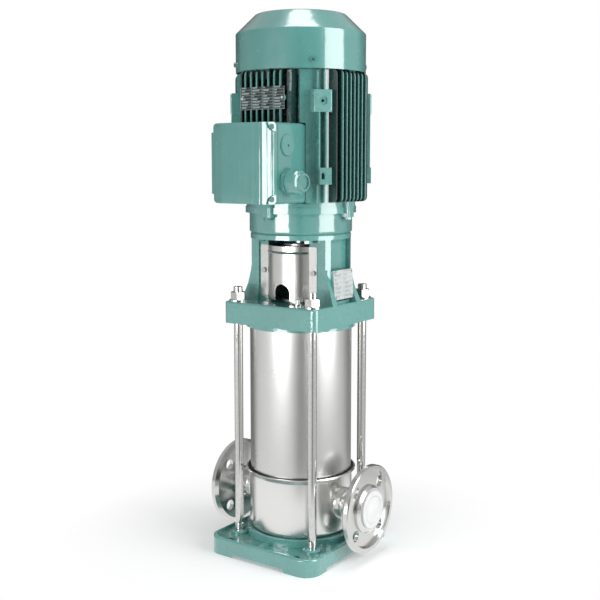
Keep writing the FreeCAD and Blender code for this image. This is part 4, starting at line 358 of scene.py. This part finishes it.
@dataclass(frozen=True)
class EnamelFinish:
    """Gloss enamel over a casting or a pressed sheet.

    Lumps are the casting's skin and peel is the paint's own fine texture; both are heights in
    metres, and scales are cells in a metre. The fin spans say where, in metres, the painted shade
    in the fin bottoms stops. A crown slopes a pressed lid's borders, from crown_start off its
    middle.
    """

    name: str
    colour: Colour
    lumps: float = 0.00045
    lump_scale: float = 95.0
    peel: float = 0.000012
    peel_scale: float = 850.0
    flow_scale: float = 14.0
    flow_shades: Span = (0.94, 1.06)
    speck_scale: float = 900.0
    speck_cut: Span = (0.63, 0.75)
    speck_share: float = 0.3
    speck_shade: float = 0.7
    roughness: float = 0.24
    wear_scale: float = 60.0
    wear_gloss: Span = (-0.05, 0.08)
    paint_ior: float = 1.52
    coat_roughness: float = 0.035
    coat_ior: float = 1.75
    paints_fin_shade: bool = False
    # Spans and darkening factor of the painted shade in the fin bottoms.
    fin_bottom: Span = (0.0970, 0.1002)
    fin_field: Span = (0.0462, 0.0472)
    fin_foot: Span = (0.5672, 0.5690)
    fin_painted_shade: float = 0.10
    crown_start: float = 0.0
    crown_slope: float = 0.287
    crown_ripple: float = 0.0009
    crown_ripple_scale: float = 110.0
    crown_ripple_stretch: float = 0.03

    def painted_depth_shade(self, surface: Surface, base: Socket) -> Socket:
        """Paint shade into the bottoms between the fins, where little light reaches.

        Args:
            surface: Material under construction.
            base: Colour of the open paint.

        Returns:
            The colour with the painted shade.
        """
        x, y, z = surface.split(surface.place)
        x, y = surface.math("ABSOLUTE", x), surface.math("ABSOLUTE", y)
        near, far = surface.math("MINIMUM", x, y), surface.math("MAXIMUM", x, y)
        deep = surface.span(far, 1.0, 0.0, *self.fin_bottom)
        inside = surface.span(near, 1.0, 0.0, *self.fin_field)
        above = surface.span(z, 0.0, 1.0, *self.fin_foot)
        # Painted shade: the fin bottoms take a dark copy of the teal.
        painted_shade = surface.times(deep, inside, above)
        return surface.blend(painted_shade, base, shade(self.colour, self.fin_painted_shade))

    def crown(self, surface: Surface) -> None:
        """Slope the pressed lid's side borders back, and let its face ripple faintly.

        Args:
            surface: Material under construction.
        """
        x, _, z = surface.split(surface.place)
        past = surface.math("SUBTRACT", surface.math("ABSOLUTE", x), self.crown_start)
        border = surface.math("MAXIMUM", past, 0.0)
        surface.emboss(surface.times(border, -self.crown_slope), 1.0)
        upright = surface.join(x, 0.0, surface.times(z, self.crown_ripple_stretch))
        surface.emboss(surface.noise(self.crown_ripple_scale, place=upright), self.crown_ripple)

    def material(self) -> bpy.types.Material:
        """Build the paint with its flow, casting lumps and specks.

        Returns:
            The finished material.
        """
        surface = Surface(self.name)
        flow = surface.span(surface.noise(self.flow_scale, detail=3.0), 0.0, 1.0)
        base = surface.tones(flow, self.colour, self.flow_shades)
        dust = surface.noise(self.speck_scale, detail=1.0)
        speck = surface.span(dust, 0.0, self.speck_share, *self.speck_cut)
        base = surface.blend(speck, base, shade(self.colour, self.speck_shade))
        # Painted shade in the fin bottoms of the motor frame.
        if self.paints_fin_shade:
            base = self.painted_depth_shade(surface, base)
        surface.set("Base Color", base)
        wear = surface.noise(self.wear_scale, detail=3.0)
        glossy, worn = (self.roughness + change for change in self.wear_gloss)
        surface.set("Roughness", surface.span(wear, glossy, worn))
        surface.set("IOR", self.paint_ior)
        surface.set("Coat Weight", 1.0)
        surface.set("Coat Roughness", self.coat_roughness)
        surface.set("Coat IOR", self.coat_ior)
        if self.crown_start:
            self.crown(surface)
        surface.emboss(surface.noise(self.lump_scale), self.lumps)
        surface.emboss(surface.noise(self.peel_scale, detail=1.0), self.peel)
        surface.set("Coat Normal", surface.relief)
        return surface.material


@dataclass(frozen=True)
class SteelFinish:
    """Bare steel, brushed, turned or cast.

    Depth is the height of the grain and ripple that of the sheet's waves, both in metres.
    Contrast is how much the grain changes colour and gloss.
    """

    name: str
    colour: Colour
    grain: Grain
    roughness: float = 0.24
    depth: float = 0.00001
    ripple: float = 0.0
    contrast: float = 0.07
    cast_scale: float = 260.0
    line_scale: float = 1500.0
    line_stretch: float = 0.02
    turn_stretch: float = 0.005
    anisotropy: float = 0.45
    cloud_scale: float = 9.0
    cloud_share: float = 0.25
    cloud_shade: float = 0.88
    cloud_gloss: float = 0.03
    ripple_scale: float = 7.0

    def turned(self, surface: Surface, first: Socket, second: Socket, axial: Socket) -> Socket:
        """Give coordinates in which noise draws rings around an axis.

        Args:
            surface: Material under construction.
            first: Offset from the axis one way.
            second: Offset from the axis the other way.
            axial: Place along the axis.

        Returns:
            The coordinate socket.
        """
        turn = surface.times(surface.math("ARCTAN2", second, first), self.turn_stretch)
        return surface.join(turn, surface.radius(first, second), axial)

    def lines(self, surface: Surface) -> Socket:
        """Give the fine pattern that the brush or the tool left.

        Args:
            surface: Material under construction.

        Returns:
            A noise value that runs along the grain.
        """
        if self.grain is Grain.PLAIN:
            return surface.noise(self.cast_scale, detail=4.0)
        x, y, z = surface.split(surface.place)
        if self.grain is Grain.ALONG_Z:
            place = surface.join(x, y, surface.times(z, self.line_stretch))
        elif self.grain is Grain.AROUND_Z:
            place = self.turned(surface, x, y, z)
        else:
            place = self.turned(surface, surface.math("SUBTRACT", z, PORT_HEIGHT), y, x)
        return surface.noise(self.line_scale, detail=3.0, rough=0.6, place=place)

    def material(self) -> bpy.types.Material:
        """Build the metal with its grain in colour, gloss and relief.

        Returns:
            The finished material.
        """
        surface = Surface(self.name)
        lines = self.lines(surface)
        cloud = surface.noise(self.cloud_scale)
        streaks = surface.tones(surface.span(lines, 0.0, 1.0), self.colour,
                                (1.0 - self.contrast, 1.0 + self.contrast))
        clouded = surface.blend(surface.span(cloud, 0.0, self.cloud_share), streaks,
                                shade(self.colour, self.cloud_shade))
        surface.set("Base Color", clouded)
        surface.set("Metallic", 1.0)
        surface.set("Anisotropic", 0.0 if self.grain is Grain.PLAIN else self.anisotropy)
        fine = surface.span(lines, -self.contrast / 2, self.contrast / 2)
        broad = surface.span(cloud, self.roughness - self.cloud_gloss,
                             self.roughness + self.cloud_gloss)
        surface.set("Roughness", surface.math("ADD", fine, broad))
        surface.emboss(lines, self.depth)
        if self.ripple:
            surface.emboss(surface.noise(self.ripple_scale, detail=1.0), self.ripple)
        return surface.material


@dataclass(frozen=True)
class MouldedFinish:
    """Plastic, rubber, carbon or ceramic with a fine matt skin.

    A ring radius above zero sinks the face of a port cap inside that radius.
    """

    name: str
    colour: Colour
    roughness: float = 0.5
    skin: float = 0.00003
    skin_scale: float = 1800.0
    marks_scale: float = 40.0
    marks_shades: Span = (0.93, 1.04)
    marks_gloss: float = 0.07
    ior: float = 1.48
    ring_radius: float = 0.0
    ring_edge: float = 0.0006
    ring_depth: float = 0.0011

    def ring(self, surface: Surface) -> None:
        """Sink the round face of a port cap inside its raised rim.

        Args:
            surface: Material under construction.
        """
        _, y, z = surface.split(surface.place)
        reach = surface.radius(y, surface.math("SUBTRACT", z, PORT_HEIGHT))
        inner, outer = self.ring_radius - self.ring_edge, self.ring_radius + self.ring_edge
        surface.emboss(surface.span(reach, 0.0, 1.0, inner, outer), self.ring_depth)

    def material(self) -> bpy.types.Material:
        """Build the moulded surface with a fine skin and faint handling marks.

        Returns:
            The finished material.
        """
        surface = Surface(self.name)
        marks = surface.noise(self.marks_scale, detail=4.0)
        surface.set("Base Color", surface.tones(surface.span(marks, 0.0, 1.0), self.colour,
                                                self.marks_shades))
        surface.set("Roughness", surface.span(marks, self.roughness - self.marks_gloss,
                                              self.roughness + self.marks_gloss))
        surface.set("IOR", self.ior)
        surface.emboss(surface.noise(self.skin_scale, detail=1.0), self.skin)
        if self.ring_radius:
            self.ring(surface)
        return surface.material


@dataclass(frozen=True)
class LayerFinish:
    """Stack of thin sheets or wires, lined across the shaft at each pitch."""

    name: str
    colour: Colour
    metallic: float
    pitch: float
    groove_share: float = 0.1
    shades: Span = (0.6, 1.1)
    gloss_scale: float = 120.0
    gloss: Span = (0.35, 0.55)

    def material(self) -> bpy.types.Material:
        """Build the stack with a line at each sheet or wire.

        Returns:
            The finished material.
        """
        surface = Surface(self.name)
        z = surface.split(surface.place)[2]
        wave = surface.math("SINE", surface.times(z, 2 * math.pi / self.pitch))
        tone = surface.span(wave, 0.0, 1.0, -1.0, 1.0)
        surface.set("Base Color", surface.tones(tone, self.colour, self.shades))
        gloss = surface.noise(self.gloss_scale, detail=3.0)
        surface.set("Roughness", surface.span(gloss, *self.gloss))
        surface.set("Metallic", self.metallic)
        surface.emboss(tone, self.pitch * self.groove_share)
        return surface.material


@dataclass(frozen=True)
class PrintedPlateFinish:
    """Thin plate ruled into a blank table, with short bars that stand in for entries.

    Origin and cell are in metres, across and up. Rule and bar_corner are shares of a cell.
    """

    name: str
    ground: Colour
    ink: Colour
    origin: Span
    cell: Span
    across_x: bool
    metallic: float = 0.0
    ink_share: float = 0.75
    ink_height: float = 0.00004
    rule: Span = (0.04, 0.12)
    bar_corner: Span = (0.12, 0.48)
    bar_lengths: Span = (0.25, 0.85)
    entry_scale: float = 3.7
    entry_noise: Span = (0.35, 0.65)
    marks_scale: float = 60.0
    marks_share: float = 0.4
    marks_shade: float = 0.8
    gloss_scale: float = 90.0
    gloss: Span = (0.24, 0.38)

    def material(self) -> bpy.types.Material:
        """Build the plate's table of cells and bars.

        Returns:
            The finished material.
        """
        surface = Surface(self.name)
        x, y, z = surface.split(surface.place)
        offsets = [surface.math("SUBTRACT", value, start)
                   for value, start in zip((x if self.across_x else y, z), self.origin)]
        column, row = (surface.math("DIVIDE", offset, size)
                       for offset, size in zip(offsets, self.cell))
        along, up = surface.math("FRACT", column), surface.math("FRACT", row)
        ruling = surface.math("MAXIMUM", surface.math("LESS_THAN", along, self.rule[0]),
                              surface.math("LESS_THAN", up, self.rule[1]))
        cell = surface.join(surface.math("FLOOR", column), surface.math("FLOOR", row), 0.0)
        entry = surface.noise(self.entry_scale, detail=0.0, place=cell)
        length = surface.span(entry, *self.bar_lengths, *self.entry_noise)
        bar = surface.times(surface.math("LESS_THAN", along, length),
                            surface.math("GREATER_THAN", along, self.bar_corner[0]),
                            surface.math("GREATER_THAN", up, self.bar_corner[1]))
        ink = surface.times(surface.math("MAXIMUM", ruling, bar), self.ink_share)
        marks = surface.span(surface.noise(self.marks_scale, detail=3.0), 0.0, self.marks_share)
        ground = surface.blend(marks, self.ground, shade(self.ground, self.marks_shade))
        surface.set("Base Color", surface.blend(ink, ground, self.ink))
        surface.set("Metallic", self.metallic)
        surface.set("Roughness", surface.span(surface.noise(self.gloss_scale), *self.gloss))
        surface.emboss(ink, self.ink_height)
        return surface.material


FINISHES = (
    # A lighter copy of the teal enamel for the base plate and motor stool: painted light.
    EnamelFinish("lit_cast_enamel", shade(TEAL, 1.1)),
    EnamelFinish("smooth_enamel", TEAL, lumps=0.00022, lump_scale=45.0, peel=0.000018,
                 roughness=0.2),
    EnamelFinish("fin_enamel", TEAL, lumps=0.0004, lump_scale=70.0, peel=0.00002,
                 paints_fin_shade=True),
    EnamelFinish("lid_enamel", TEAL, lumps=0.00022, lump_scale=45.0, peel=0.000018,
                 roughness=0.2, crown_start=0.038),
    EnamelFinish("screw_enamel", shade(TEAL, 0.85), lumps=0.00005, lump_scale=300.0,
                 peel=0.00002, roughness=0.3),
    SteelFinish("sleeve_steel", BRIGHT_STEEL, Grain.AROUND_Z, roughness=0.30,
                depth=0.0000008, ripple=0.00004, contrast=0.025),
    SteelFinish("chamber_steel", shade(BRIGHT_STEEL, 1.2), Grain.AROUND_Z,
                depth=0.000001, ripple=0.00004, contrast=0.03),
    SteelFinish("flange_steel", shade(BRIGHT_STEEL, 1.05), Grain.AROUND_PORTS,
                roughness=0.2, depth=0.000006),
    SteelFinish("guard_steel", shade(BRIGHT_STEEL, 0.94), Grain.ALONG_Z,
                roughness=0.22, depth=0.000004),
    SteelFinish("rod_steel", BRIGHT_STEEL, Grain.PLAIN, roughness=0.07, depth=0.000001),
    SteelFinish("fastener_steel", shade(BRIGHT_STEEL, 0.82), Grain.PLAIN,
                roughness=0.2, depth=0.000006),
    SteelFinish("machined_steel", shade(BRIGHT_STEEL, 0.85), Grain.AROUND_Z,
                roughness=0.28, depth=0.000006),
    SteelFinish("plate_aluminium", (0.72, 0.73, 0.72), Grain.PLAIN,
                roughness=0.3, depth=0.000004),
    LayerFinish("laminations", (0.13, 0.13, 0.135), metallic=0.8, pitch=0.0018),
    LayerFinish("copper_winding", (0.50, 0.20, 0.08), metallic=0.9, pitch=0.0022),
    SteelFinish("bronze", (0.52, 0.36, 0.16), Grain.AROUND_Z, roughness=0.32, depth=0.000006),
    MouldedFinish("carbon", (0.02, 0.02, 0.022), roughness=0.35),
    MouldedFinish("rubber", (0.012, 0.012, 0.012), roughness=0.62, skin=0.00006),
    MouldedFinish("white_cap", (0.72, 0.73, 0.73), roughness=0.34, skin=0.00002,
                  ring_radius=0.0215),
    MouldedFinish("black_plastic", (0.016, 0.016, 0.017), roughness=0.45),
    PrintedPlateFinish("rating_print", ground=(0.018, 0.028, 0.028), ink=(0.34, 0.42, 0.41),
                       origin=(-0.041, 0.7075), cell=(0.0205, 0.0042), across_x=True),
    PrintedPlateFinish("label_print", ground=(0.62, 0.66, 0.65), ink=(0.24, 0.27, 0.27),
                       origin=(-0.0273, 0.4153), cell=(0.0273, 0.0066), across_x=False,
                       metallic=0.2, ink_share=0.4),
)


@dataclass(frozen=True)
class SubAssembly:
    """One group of the pump's nodes, with the nodes that wear each finish."""

    title: str
    wears: dict[str, tuple[str, ...]]
    body: str = "pump"

    def dress(self, materials: dict[str, bpy.types.Material]) -> set[str]:
        """Put the finishes on this group's nodes.

        Args:
            materials: Built materials by name.

        Returns:
            The nodes that were dressed.
        """
        done: set[str] = set()
        for finish, nodes in self.wears.items():
            for node in nodes:
                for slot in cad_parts[node].material_slots:
                    slot.material = materials[finish]
                done.add(node)
        LOG.info("%s: %d nodes dressed", self.title, len(done))
        return done

    def build(self, materials: dict[str, bpy.types.Material]) -> None:
        """Add this group's own pieces, of which a plain group has none."""

    def place(self, shape: bmesh.types.BMesh, name: str, material: bpy.types.Material, slot: str,
              smooth: bool = True) -> None:
        """Turn a finished bmesh into a piece that rides on this group's body.

        Args:
            shape: Mesh in the pump's frame, in metres; it is freed.
            name: Name of the piece.
            material: Its finish.
            slot: The record's material slot that the piece belongs to; not used.
            smooth: Whether its faces are shaded smooth.
        """
        bmesh.ops.recalc_face_normals(shape, faces=shape.faces)
        for face in shape.faces:
            face.smooth = smooth
        mesh = bpy.data.meshes.new(name)
        shape.to_mesh(mesh)
        shape.free()
        mesh.materials.append(material)
        item = bpy.data.objects.new(name, mesh)
        bpy.context.scene.collection.objects.link(item)
        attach(item, self.body)
        LOG.info("%s: %s, %d faces", self.title, name, len(mesh.polygons))


@dataclass(frozen=True)
class TieRods(SubAssembly):
    """Four tie rods with their washers and nuts, and the threads at both rod ends."""

    rod_half: float = 0.072125
    rod_radius: float = 0.0070
    thread_depth: float = 0.00045
    thread_sunk: float = 0.0001
    crest: Span = (0.4, 0.6)
    pitch: float = 0.0020
    foot_z: float = 0.0296
    foot_length: float = 0.0110
    nut_top: float = 0.4228
    tip_length: float = 0.0080
    steps: int = 20
    merge: float = 0.000001

    def thread(self, shape: bmesh.types.BMesh, x: float, y: float, low: float,
               length: float) -> None:
        """Add one helical ridge around a rod.

        Args:
            shape: Mesh that takes the ridge.
            x: Rod's place across.
            y: Rod's place along.
            low: Height at which the thread starts.
            length: Length of the thread.
        """
        turns = round(length / self.pitch) - 1
        root = self.rod_radius - self.thread_sunk
        tip = self.rod_radius + self.thread_depth
        rises = [self.pitch * share for share in (0.0, *self.crest, 1.0)]
        verts = [shape.verts.new((x + reach, y, low + rise))
                 for reach, rise in zip((root, tip, tip, root), rises)]
        edges = [shape.edges.new(pair) for pair in zip(verts, verts[1:])]
        bmesh.ops.spin(shape, geom=verts + edges, cent=(x, y, low), axis=(0.0, 0.0, 1.0),
                       dvec=(0.0, 0.0, self.pitch / self.steps), angle=2 * math.pi * turns,
                       steps=self.steps * turns)

    def build(self, materials: dict[str, bpy.types.Material]) -> None:
        """Cut the threads above the base bosses and above the nuts.

        Args:
            materials: Built materials by name.
        """
        shape = bmesh.new()
        for x in (-self.rod_half, self.rod_half):
            for y in (-self.rod_half, self.rod_half):
                self.thread(shape, x, y, self.foot_z, self.foot_length)
                self.thread(shape, x, y, self.nut_top, self.tip_length)
        bmesh.ops.remove_doubles(shape, verts=shape.verts, dist=self.merge)
        self.place(shape, "rod_threads", materials["rod_steel"], "stainless")


@dataclass(frozen=True)
class Ports(SubAssembly):
    """Chamber, necks, loose flanges and caps, with the weld seams of the necks."""

    collar_end: float = 0.0920
    neck_radius: float = 0.0220
    bead: float = 0.0011
    bead_sides: int = 8
    bead_steps: int = 72
    ripple_depth: float = 0.00018
    ripples: int = 30
    merge: float = 0.00002

    def build(self, materials: dict[str, bpy.types.Material]) -> None:
        """Lay a rippled weld seam where each neck leaves its collar.

        Args:
            materials: Built materials by name.
        """
        shape = bmesh.new()
        upright = Matrix.Rotation(math.pi / 2, 4, "X")
        for side in (-1.0, 1.0):
            centre = Vector((side * self.collar_end, 0.0, PORT_HEIGHT))
            start = centre + Vector((0.0, 0.0, self.neck_radius))
            ring = bmesh.ops.create_circle(
                shape, segments=self.bead_sides, radius=self.bead,
                matrix=Matrix.Translation(start) @ upright)["verts"]
            edges = list({edge for vert in ring for edge in vert.link_edges})
            bmesh.ops.spin(shape, geom=ring + edges, cent=centre, axis=(1.0, 0.0, 0.0),
                           angle=2 * math.pi, steps=self.bead_steps, use_merge=True)
        bmesh.ops.remove_doubles(shape, verts=shape.verts, dist=self.merge)
        for vert in shape.verts:
            around = math.atan2(vert.co.y, vert.co.z - PORT_HEIGHT)
            vert.co.x += self.ripple_depth * math.sin(self.ripples * around)
        self.place(shape, "neck_welds", materials["chamber_steel"], "stainless")


@dataclass(frozen=True)
class FrameScrews(SubAssembly):
    """Painted motor shell and its screws, with painted slot shade on the cowl's screw heads."""

    cowl_radius: float = 0.1025
    head_reach: float = 0.0034
    screw_z: float = 0.7795
    screw_angles: tuple[float, ...] = (45.0, 135.0, 225.0, 315.0)
    slot: tuple[float, float, float] = (0.0012, 0.0058, 0.0012)
    slot_leans: Span = (45.0, -45.0)
    slot_proud: float = 0.0001
    slot_edge: float = 0.0001

    def build(self, materials: dict[str, bpy.types.Material]) -> None:
        """Set a dark cross on each cowl screw's head, painted shade in place of a sunk slot.

        Args:
            materials: Built materials by name.
        """
        shape = bmesh.new()
        reach = self.cowl_radius + self.head_reach - self.slot[0] / 2 + self.slot_proud
        for angle in self.screw_angles:
            head = (Matrix.Translation((0.0, 0.0, self.screw_z))
                    @ Matrix.Rotation(math.radians(angle), 4, "Z")
                    @ Matrix.Translation((reach, 0.0, 0.0)))
            for lean in self.slot_leans:
                verts = bmesh.ops.create_cube(shape, size=1.0)["verts"]
                edges = list({edge for vert in verts for edge in vert.link_edges})
                bmesh.ops.scale(shape, vec=self.slot, verts=verts)
                move = head @ Matrix.Rotation(math.radians(lean), 4, "X")
                bmesh.ops.transform(shape, matrix=move, verts=verts)
                bmesh.ops.bevel(shape, geom=edges, offset=self.slot_edge, segments=2,
                                profile=0.5, affect="EDGES", material=-1)
        # The black crosses sit on the heads, not sunk into them: painted shade in place of recessed
        # slots.
        self.place(shape, "cowl_screw_slot_shade", materials["rubber"], "rubber", smooth=False)


GROUPS = (
    SubAssembly("base", {"lit_cast_enamel": ("base_plate",)}),
    Ports("ports", {
        "chamber_steel": ("port_chamber", "port_necks"),
        "flange_steel": ("suction_flange", "discharge_flange"),
        "white_cap": ("suction_cap", "discharge_cap"),
        "fastener_steel": ("drain_plug",)}),
    TieRods("barrel", {
        "sleeve_steel": ("outer_sleeve",),
        "rubber": ("sleeve_seal_rings",),
        "rod_steel": ("staybolts",),
        "fastener_steel": ("staybolt_washers", "staybolt_nuts")}),
    SubAssembly("hydraulics", {
        "sleeve_steel": ("inlet_bowl", "stage_chambers", "stage_straps", "impellers",
                         "stage_spacers"),
        "black_plastic": ("neck_rings",),
        "machined_steel": ("pump_shaft", "journal_sleeve"),
        "fastener_steel": ("shaft_nut",),
        "bronze": ("journal_ring",)}),
    SubAssembly("seal", {
        "sleeve_steel": ("head_cover", "seal_cover"),
        "carbon": ("seal_seat", "seal_ring"),
        "rubber": ("seal_bellows",)}),
    SubAssembly("head", {
        "lit_cast_enamel": ("motor_stool",),
        "guard_steel": ("coupling_guards",),
        "fastener_steel": ("guard_screws", "vent_screw"),
        "label_print": ("label_plate",),
        "plate_aluminium": ("plate_rivets",)}),
    SubAssembly("coupling", {
        "machined_steel": ("coupling_halves",),
        "fastener_steel": ("coupling_bolts",)}),
    SubAssembly("motor shaft line", {
        "machined_steel": ("motor_shaft", "bearing_outer_rings", "bearing_rolling_sets"),
        "laminations": ("rotor_core", "stator_core"),
        "copper_winding": ("stator_winding",),
        "black_plastic": ("cooling_fan",)}),
    FrameScrews("motor shell", {
        "smooth_enamel": ("motor_flange", "rear_shield", "fan_cowl"),
        "fin_enamel": ("motor_frame",),
        "screw_enamel": ("shield_screws", "cowl_screws", "motor_bolts"),
        "rating_print": ("rating_plate",)}),
    SubAssembly("terminal box", {
        "smooth_enamel": ("terminal_box", "blank_plug", "gland_body", "gland_nut"),
        "lid_enamel": ("terminal_lid",),
        "rubber": ("lid_gasket",),
        "screw_enamel": ("lid_screws", "gland_bung"),
        "black_plastic": ("terminal_block",)}),
)


@dataclass(frozen=True)
class Softbox:
    """One rectangular lamp that faces a point on the pump."""

    name: str
    bearing: float
    distance: float
    height: float
    size: Span
    radiance: float
    aim: Point

    def hang(self) -> None:
        """Place the lamp; its power follows from its brightness and its area."""
        data = bpy.data.lights.new(self.name, "AREA")
        data.shape = "RECTANGLE"
        data.size, data.size_y = self.size
        data.energy = self.radiance * math.pi * self.size[0] * self.size[1]
        item = bpy.data.objects.new(self.name, data)
        angle = math.radians(self.bearing)
        place = Vector((self.distance * math.cos(angle), self.distance * math.sin(angle),
                        self.height))
        item.location = place
        item.rotation_euler = (Vector(self.aim) - place).to_track_quat("-Z", "Y").to_euler()
        bpy.context.scene.collection.objects.link(item)


@dataclass(frozen=True)
class Studio:
    """Camera, floor, lamps and surroundings.

    Distances are metres from the shaft's axis, angles are degrees and the lens is millimetres.
    """

    azimuth: float = 35.0
    distance: float = 1.5845
    eye_height: float = 0.6260
    pitch: float = 6.58
    lens: float = 59.17
    sensor: float = 36.0
    shift_x: float = -0.0014
    shift_y: float = -0.037
    clip: Span = (0.05, 60.0)
    floor_size: float = 24.0
    floor_scale: float = 3.0
    floor_roughness: float = 0.9
    floor_pale: Colour = (0.86, 0.86, 0.86)
    floor_paler: Colour = (0.88, 0.88, 0.88)
    floor_lift: float = 0.20
    floor_fade: Span = (0.16, 0.42)
    mirror_share: float = 0.85
    mirror_fade: Span = (0.36, 0.52)
    wall_top: Span = (0.25, 0.6)
    ceiling: Colour = (0.5, 0.5, 0.5)
    ambient: Colour = (0.28, 0.285, 0.29)
    softboxes: tuple[Softbox, ...] = (
        Softbox("right_softbox", bearing=4.5, distance=2.2, height=1.1, size=(1.47, 2.2),
                radiance=5.0, aim=(0.0, 0.0, 1.1)),
        Softbox("left_softbox", bearing=-96.5, distance=2.0, height=0.44, size=(1.10, 0.78),
                radiance=7.5, aim=(0.0, 0.0, 0.44)),
        Softbox("top_softbox", bearing=-55.0, distance=0.25, height=2.5, size=(1.1, 1.1),
                radiance=5.0, aim=(0.0, 0.0, 0.4)),
    )

    def camera(self) -> None:
        """Stand the camera at the photograph's viewing angle."""
        data = bpy.data.cameras.new("camera")
        data.sensor_width = self.sensor
        data.lens = self.lens
        data.shift_x = self.shift_x
        data.shift_y = self.shift_y
        data.clip_start, data.clip_end = self.clip
        item = bpy.data.objects.new("camera", data)
        angle = math.radians(self.azimuth)
        item.location = (self.distance * math.sin(angle), -self.distance * math.cos(angle),
                         self.eye_height)
        item.rotation_euler = (math.pi / 2 - math.radians(self.pitch), 0.0, angle)
        bpy.context.scene.collection.objects.link(item)
        bpy.context.scene.camera = item

    def floor_finish(self) -> bpy.types.Material:
        """Make the floor's finish, which keeps the pump's shadow.

        The camera sees it fade to white. Polished surfaces see it white near the pump, and
        further off with the grey levels of the compass bearings.

        Returns:
            The finished material.
        """
        surface = Surface("floor")
        surface.set("Base Color", surface.blend(surface.noise(self.floor_scale),
                                                self.floor_pale, self.floor_paler))
        surface.set("Roughness", self.floor_roughness)
        surface.set("Specular IOR Level", 0.0)
        x, y, _ = surface.split(surface.place)
        reach = surface.radius(x, y)
        camera, polished = surface.rays()
        near = surface.add("ShaderNodeAddShader")
        surface.wire(surface.shader.outputs[0], near.inputs[0])
        surface.wire(surface.glow(WHITE, surface.times(camera, self.floor_lift)), near.inputs[1])
        fade = surface.span(reach, 0.0, 1.0, *self.floor_fade)
        seen = surface.cover(surface.times(fade, camera), near.outputs[0],
                             surface.glow(WHITE, 1.0))
        away = surface.span(reach, 0.0, 1.0, *self.mirror_fade)
        level = surface.blend(away, WHITE, surface.levels_round(x, y, FLOOR_LEVELS))
        both = surface.cover(surface.times(polished, self.mirror_share), seen,
                             surface.glow(level, 1.0))
        surface.wire(both, surface.tree.nodes["Material Output"].inputs["Surface"])
        return surface.material

    def floor(self) -> None:
        """Lay the pale floor."""
        mesh = bpy.data.meshes.new("floor")
        shape = bmesh.new()
        bmesh.ops.create_grid(shape, x_segments=1, y_segments=1, size=self.floor_size / 2)
        shape.to_mesh(mesh)
        shape.free()
        mesh.materials.append(self.floor_finish())
        item = bpy.data.objects.new("floor", mesh)
        bpy.context.scene.collection.objects.link(item)

    def surroundings(self) -> None:
        """Make the white room, with darker walls that only polished surfaces show."""
        world = bpy.data.worlds.new("room")
        world.use_nodes = True
        bpy.context.scene.world = world
        world.node_tree.nodes.clear()
        room = Graph(world.node_tree)
        x, y, z = room.split(room.add("ShaderNodeTexCoord").outputs["Generated"])
        camera, polished = room.rays()
        height = room.span(z, 0.0, 1.0, *self.wall_top)
        walls = room.blend(height, room.levels_round(x, y, WALL_LEVELS), self.ceiling)
        level = room.blend(polished, self.ambient, walls)
        level = room.blend(camera, level, WHITE)
        light = room.add("ShaderNodeBackground")
        room.wire(level, light.inputs["Color"])
        out = room.add("ShaderNodeOutputWorld")
        room.wire(light.outputs[0], out.inputs["Surface"])

    def build(self) -> None:
        """Set up the whole studio."""
        self.camera()
        self.floor()
        self.surroundings()
        for softbox in self.softboxes:
            softbox.hang()
        LOG.info("studio: %d softboxes", len(self.softboxes))


def main() -> None:
    """Build the studio, then dress the pump group by group."""
    logging.basicConfig(level=logging.INFO, format="%(message)s")
    bpy.context.scene.view_settings.view_transform = "Standard"
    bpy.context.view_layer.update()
    Studio().build()
    materials = {finish.name: finish.material() for finish in FINISHES}
    bare = set(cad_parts)
    for group in GROUPS:
        bare -= group.dress(materials)
        group.build(materials)
    if bare:
        LOG.warning("no finish for %s", sorted(bare))


if __name__ == "__main__":
    main()
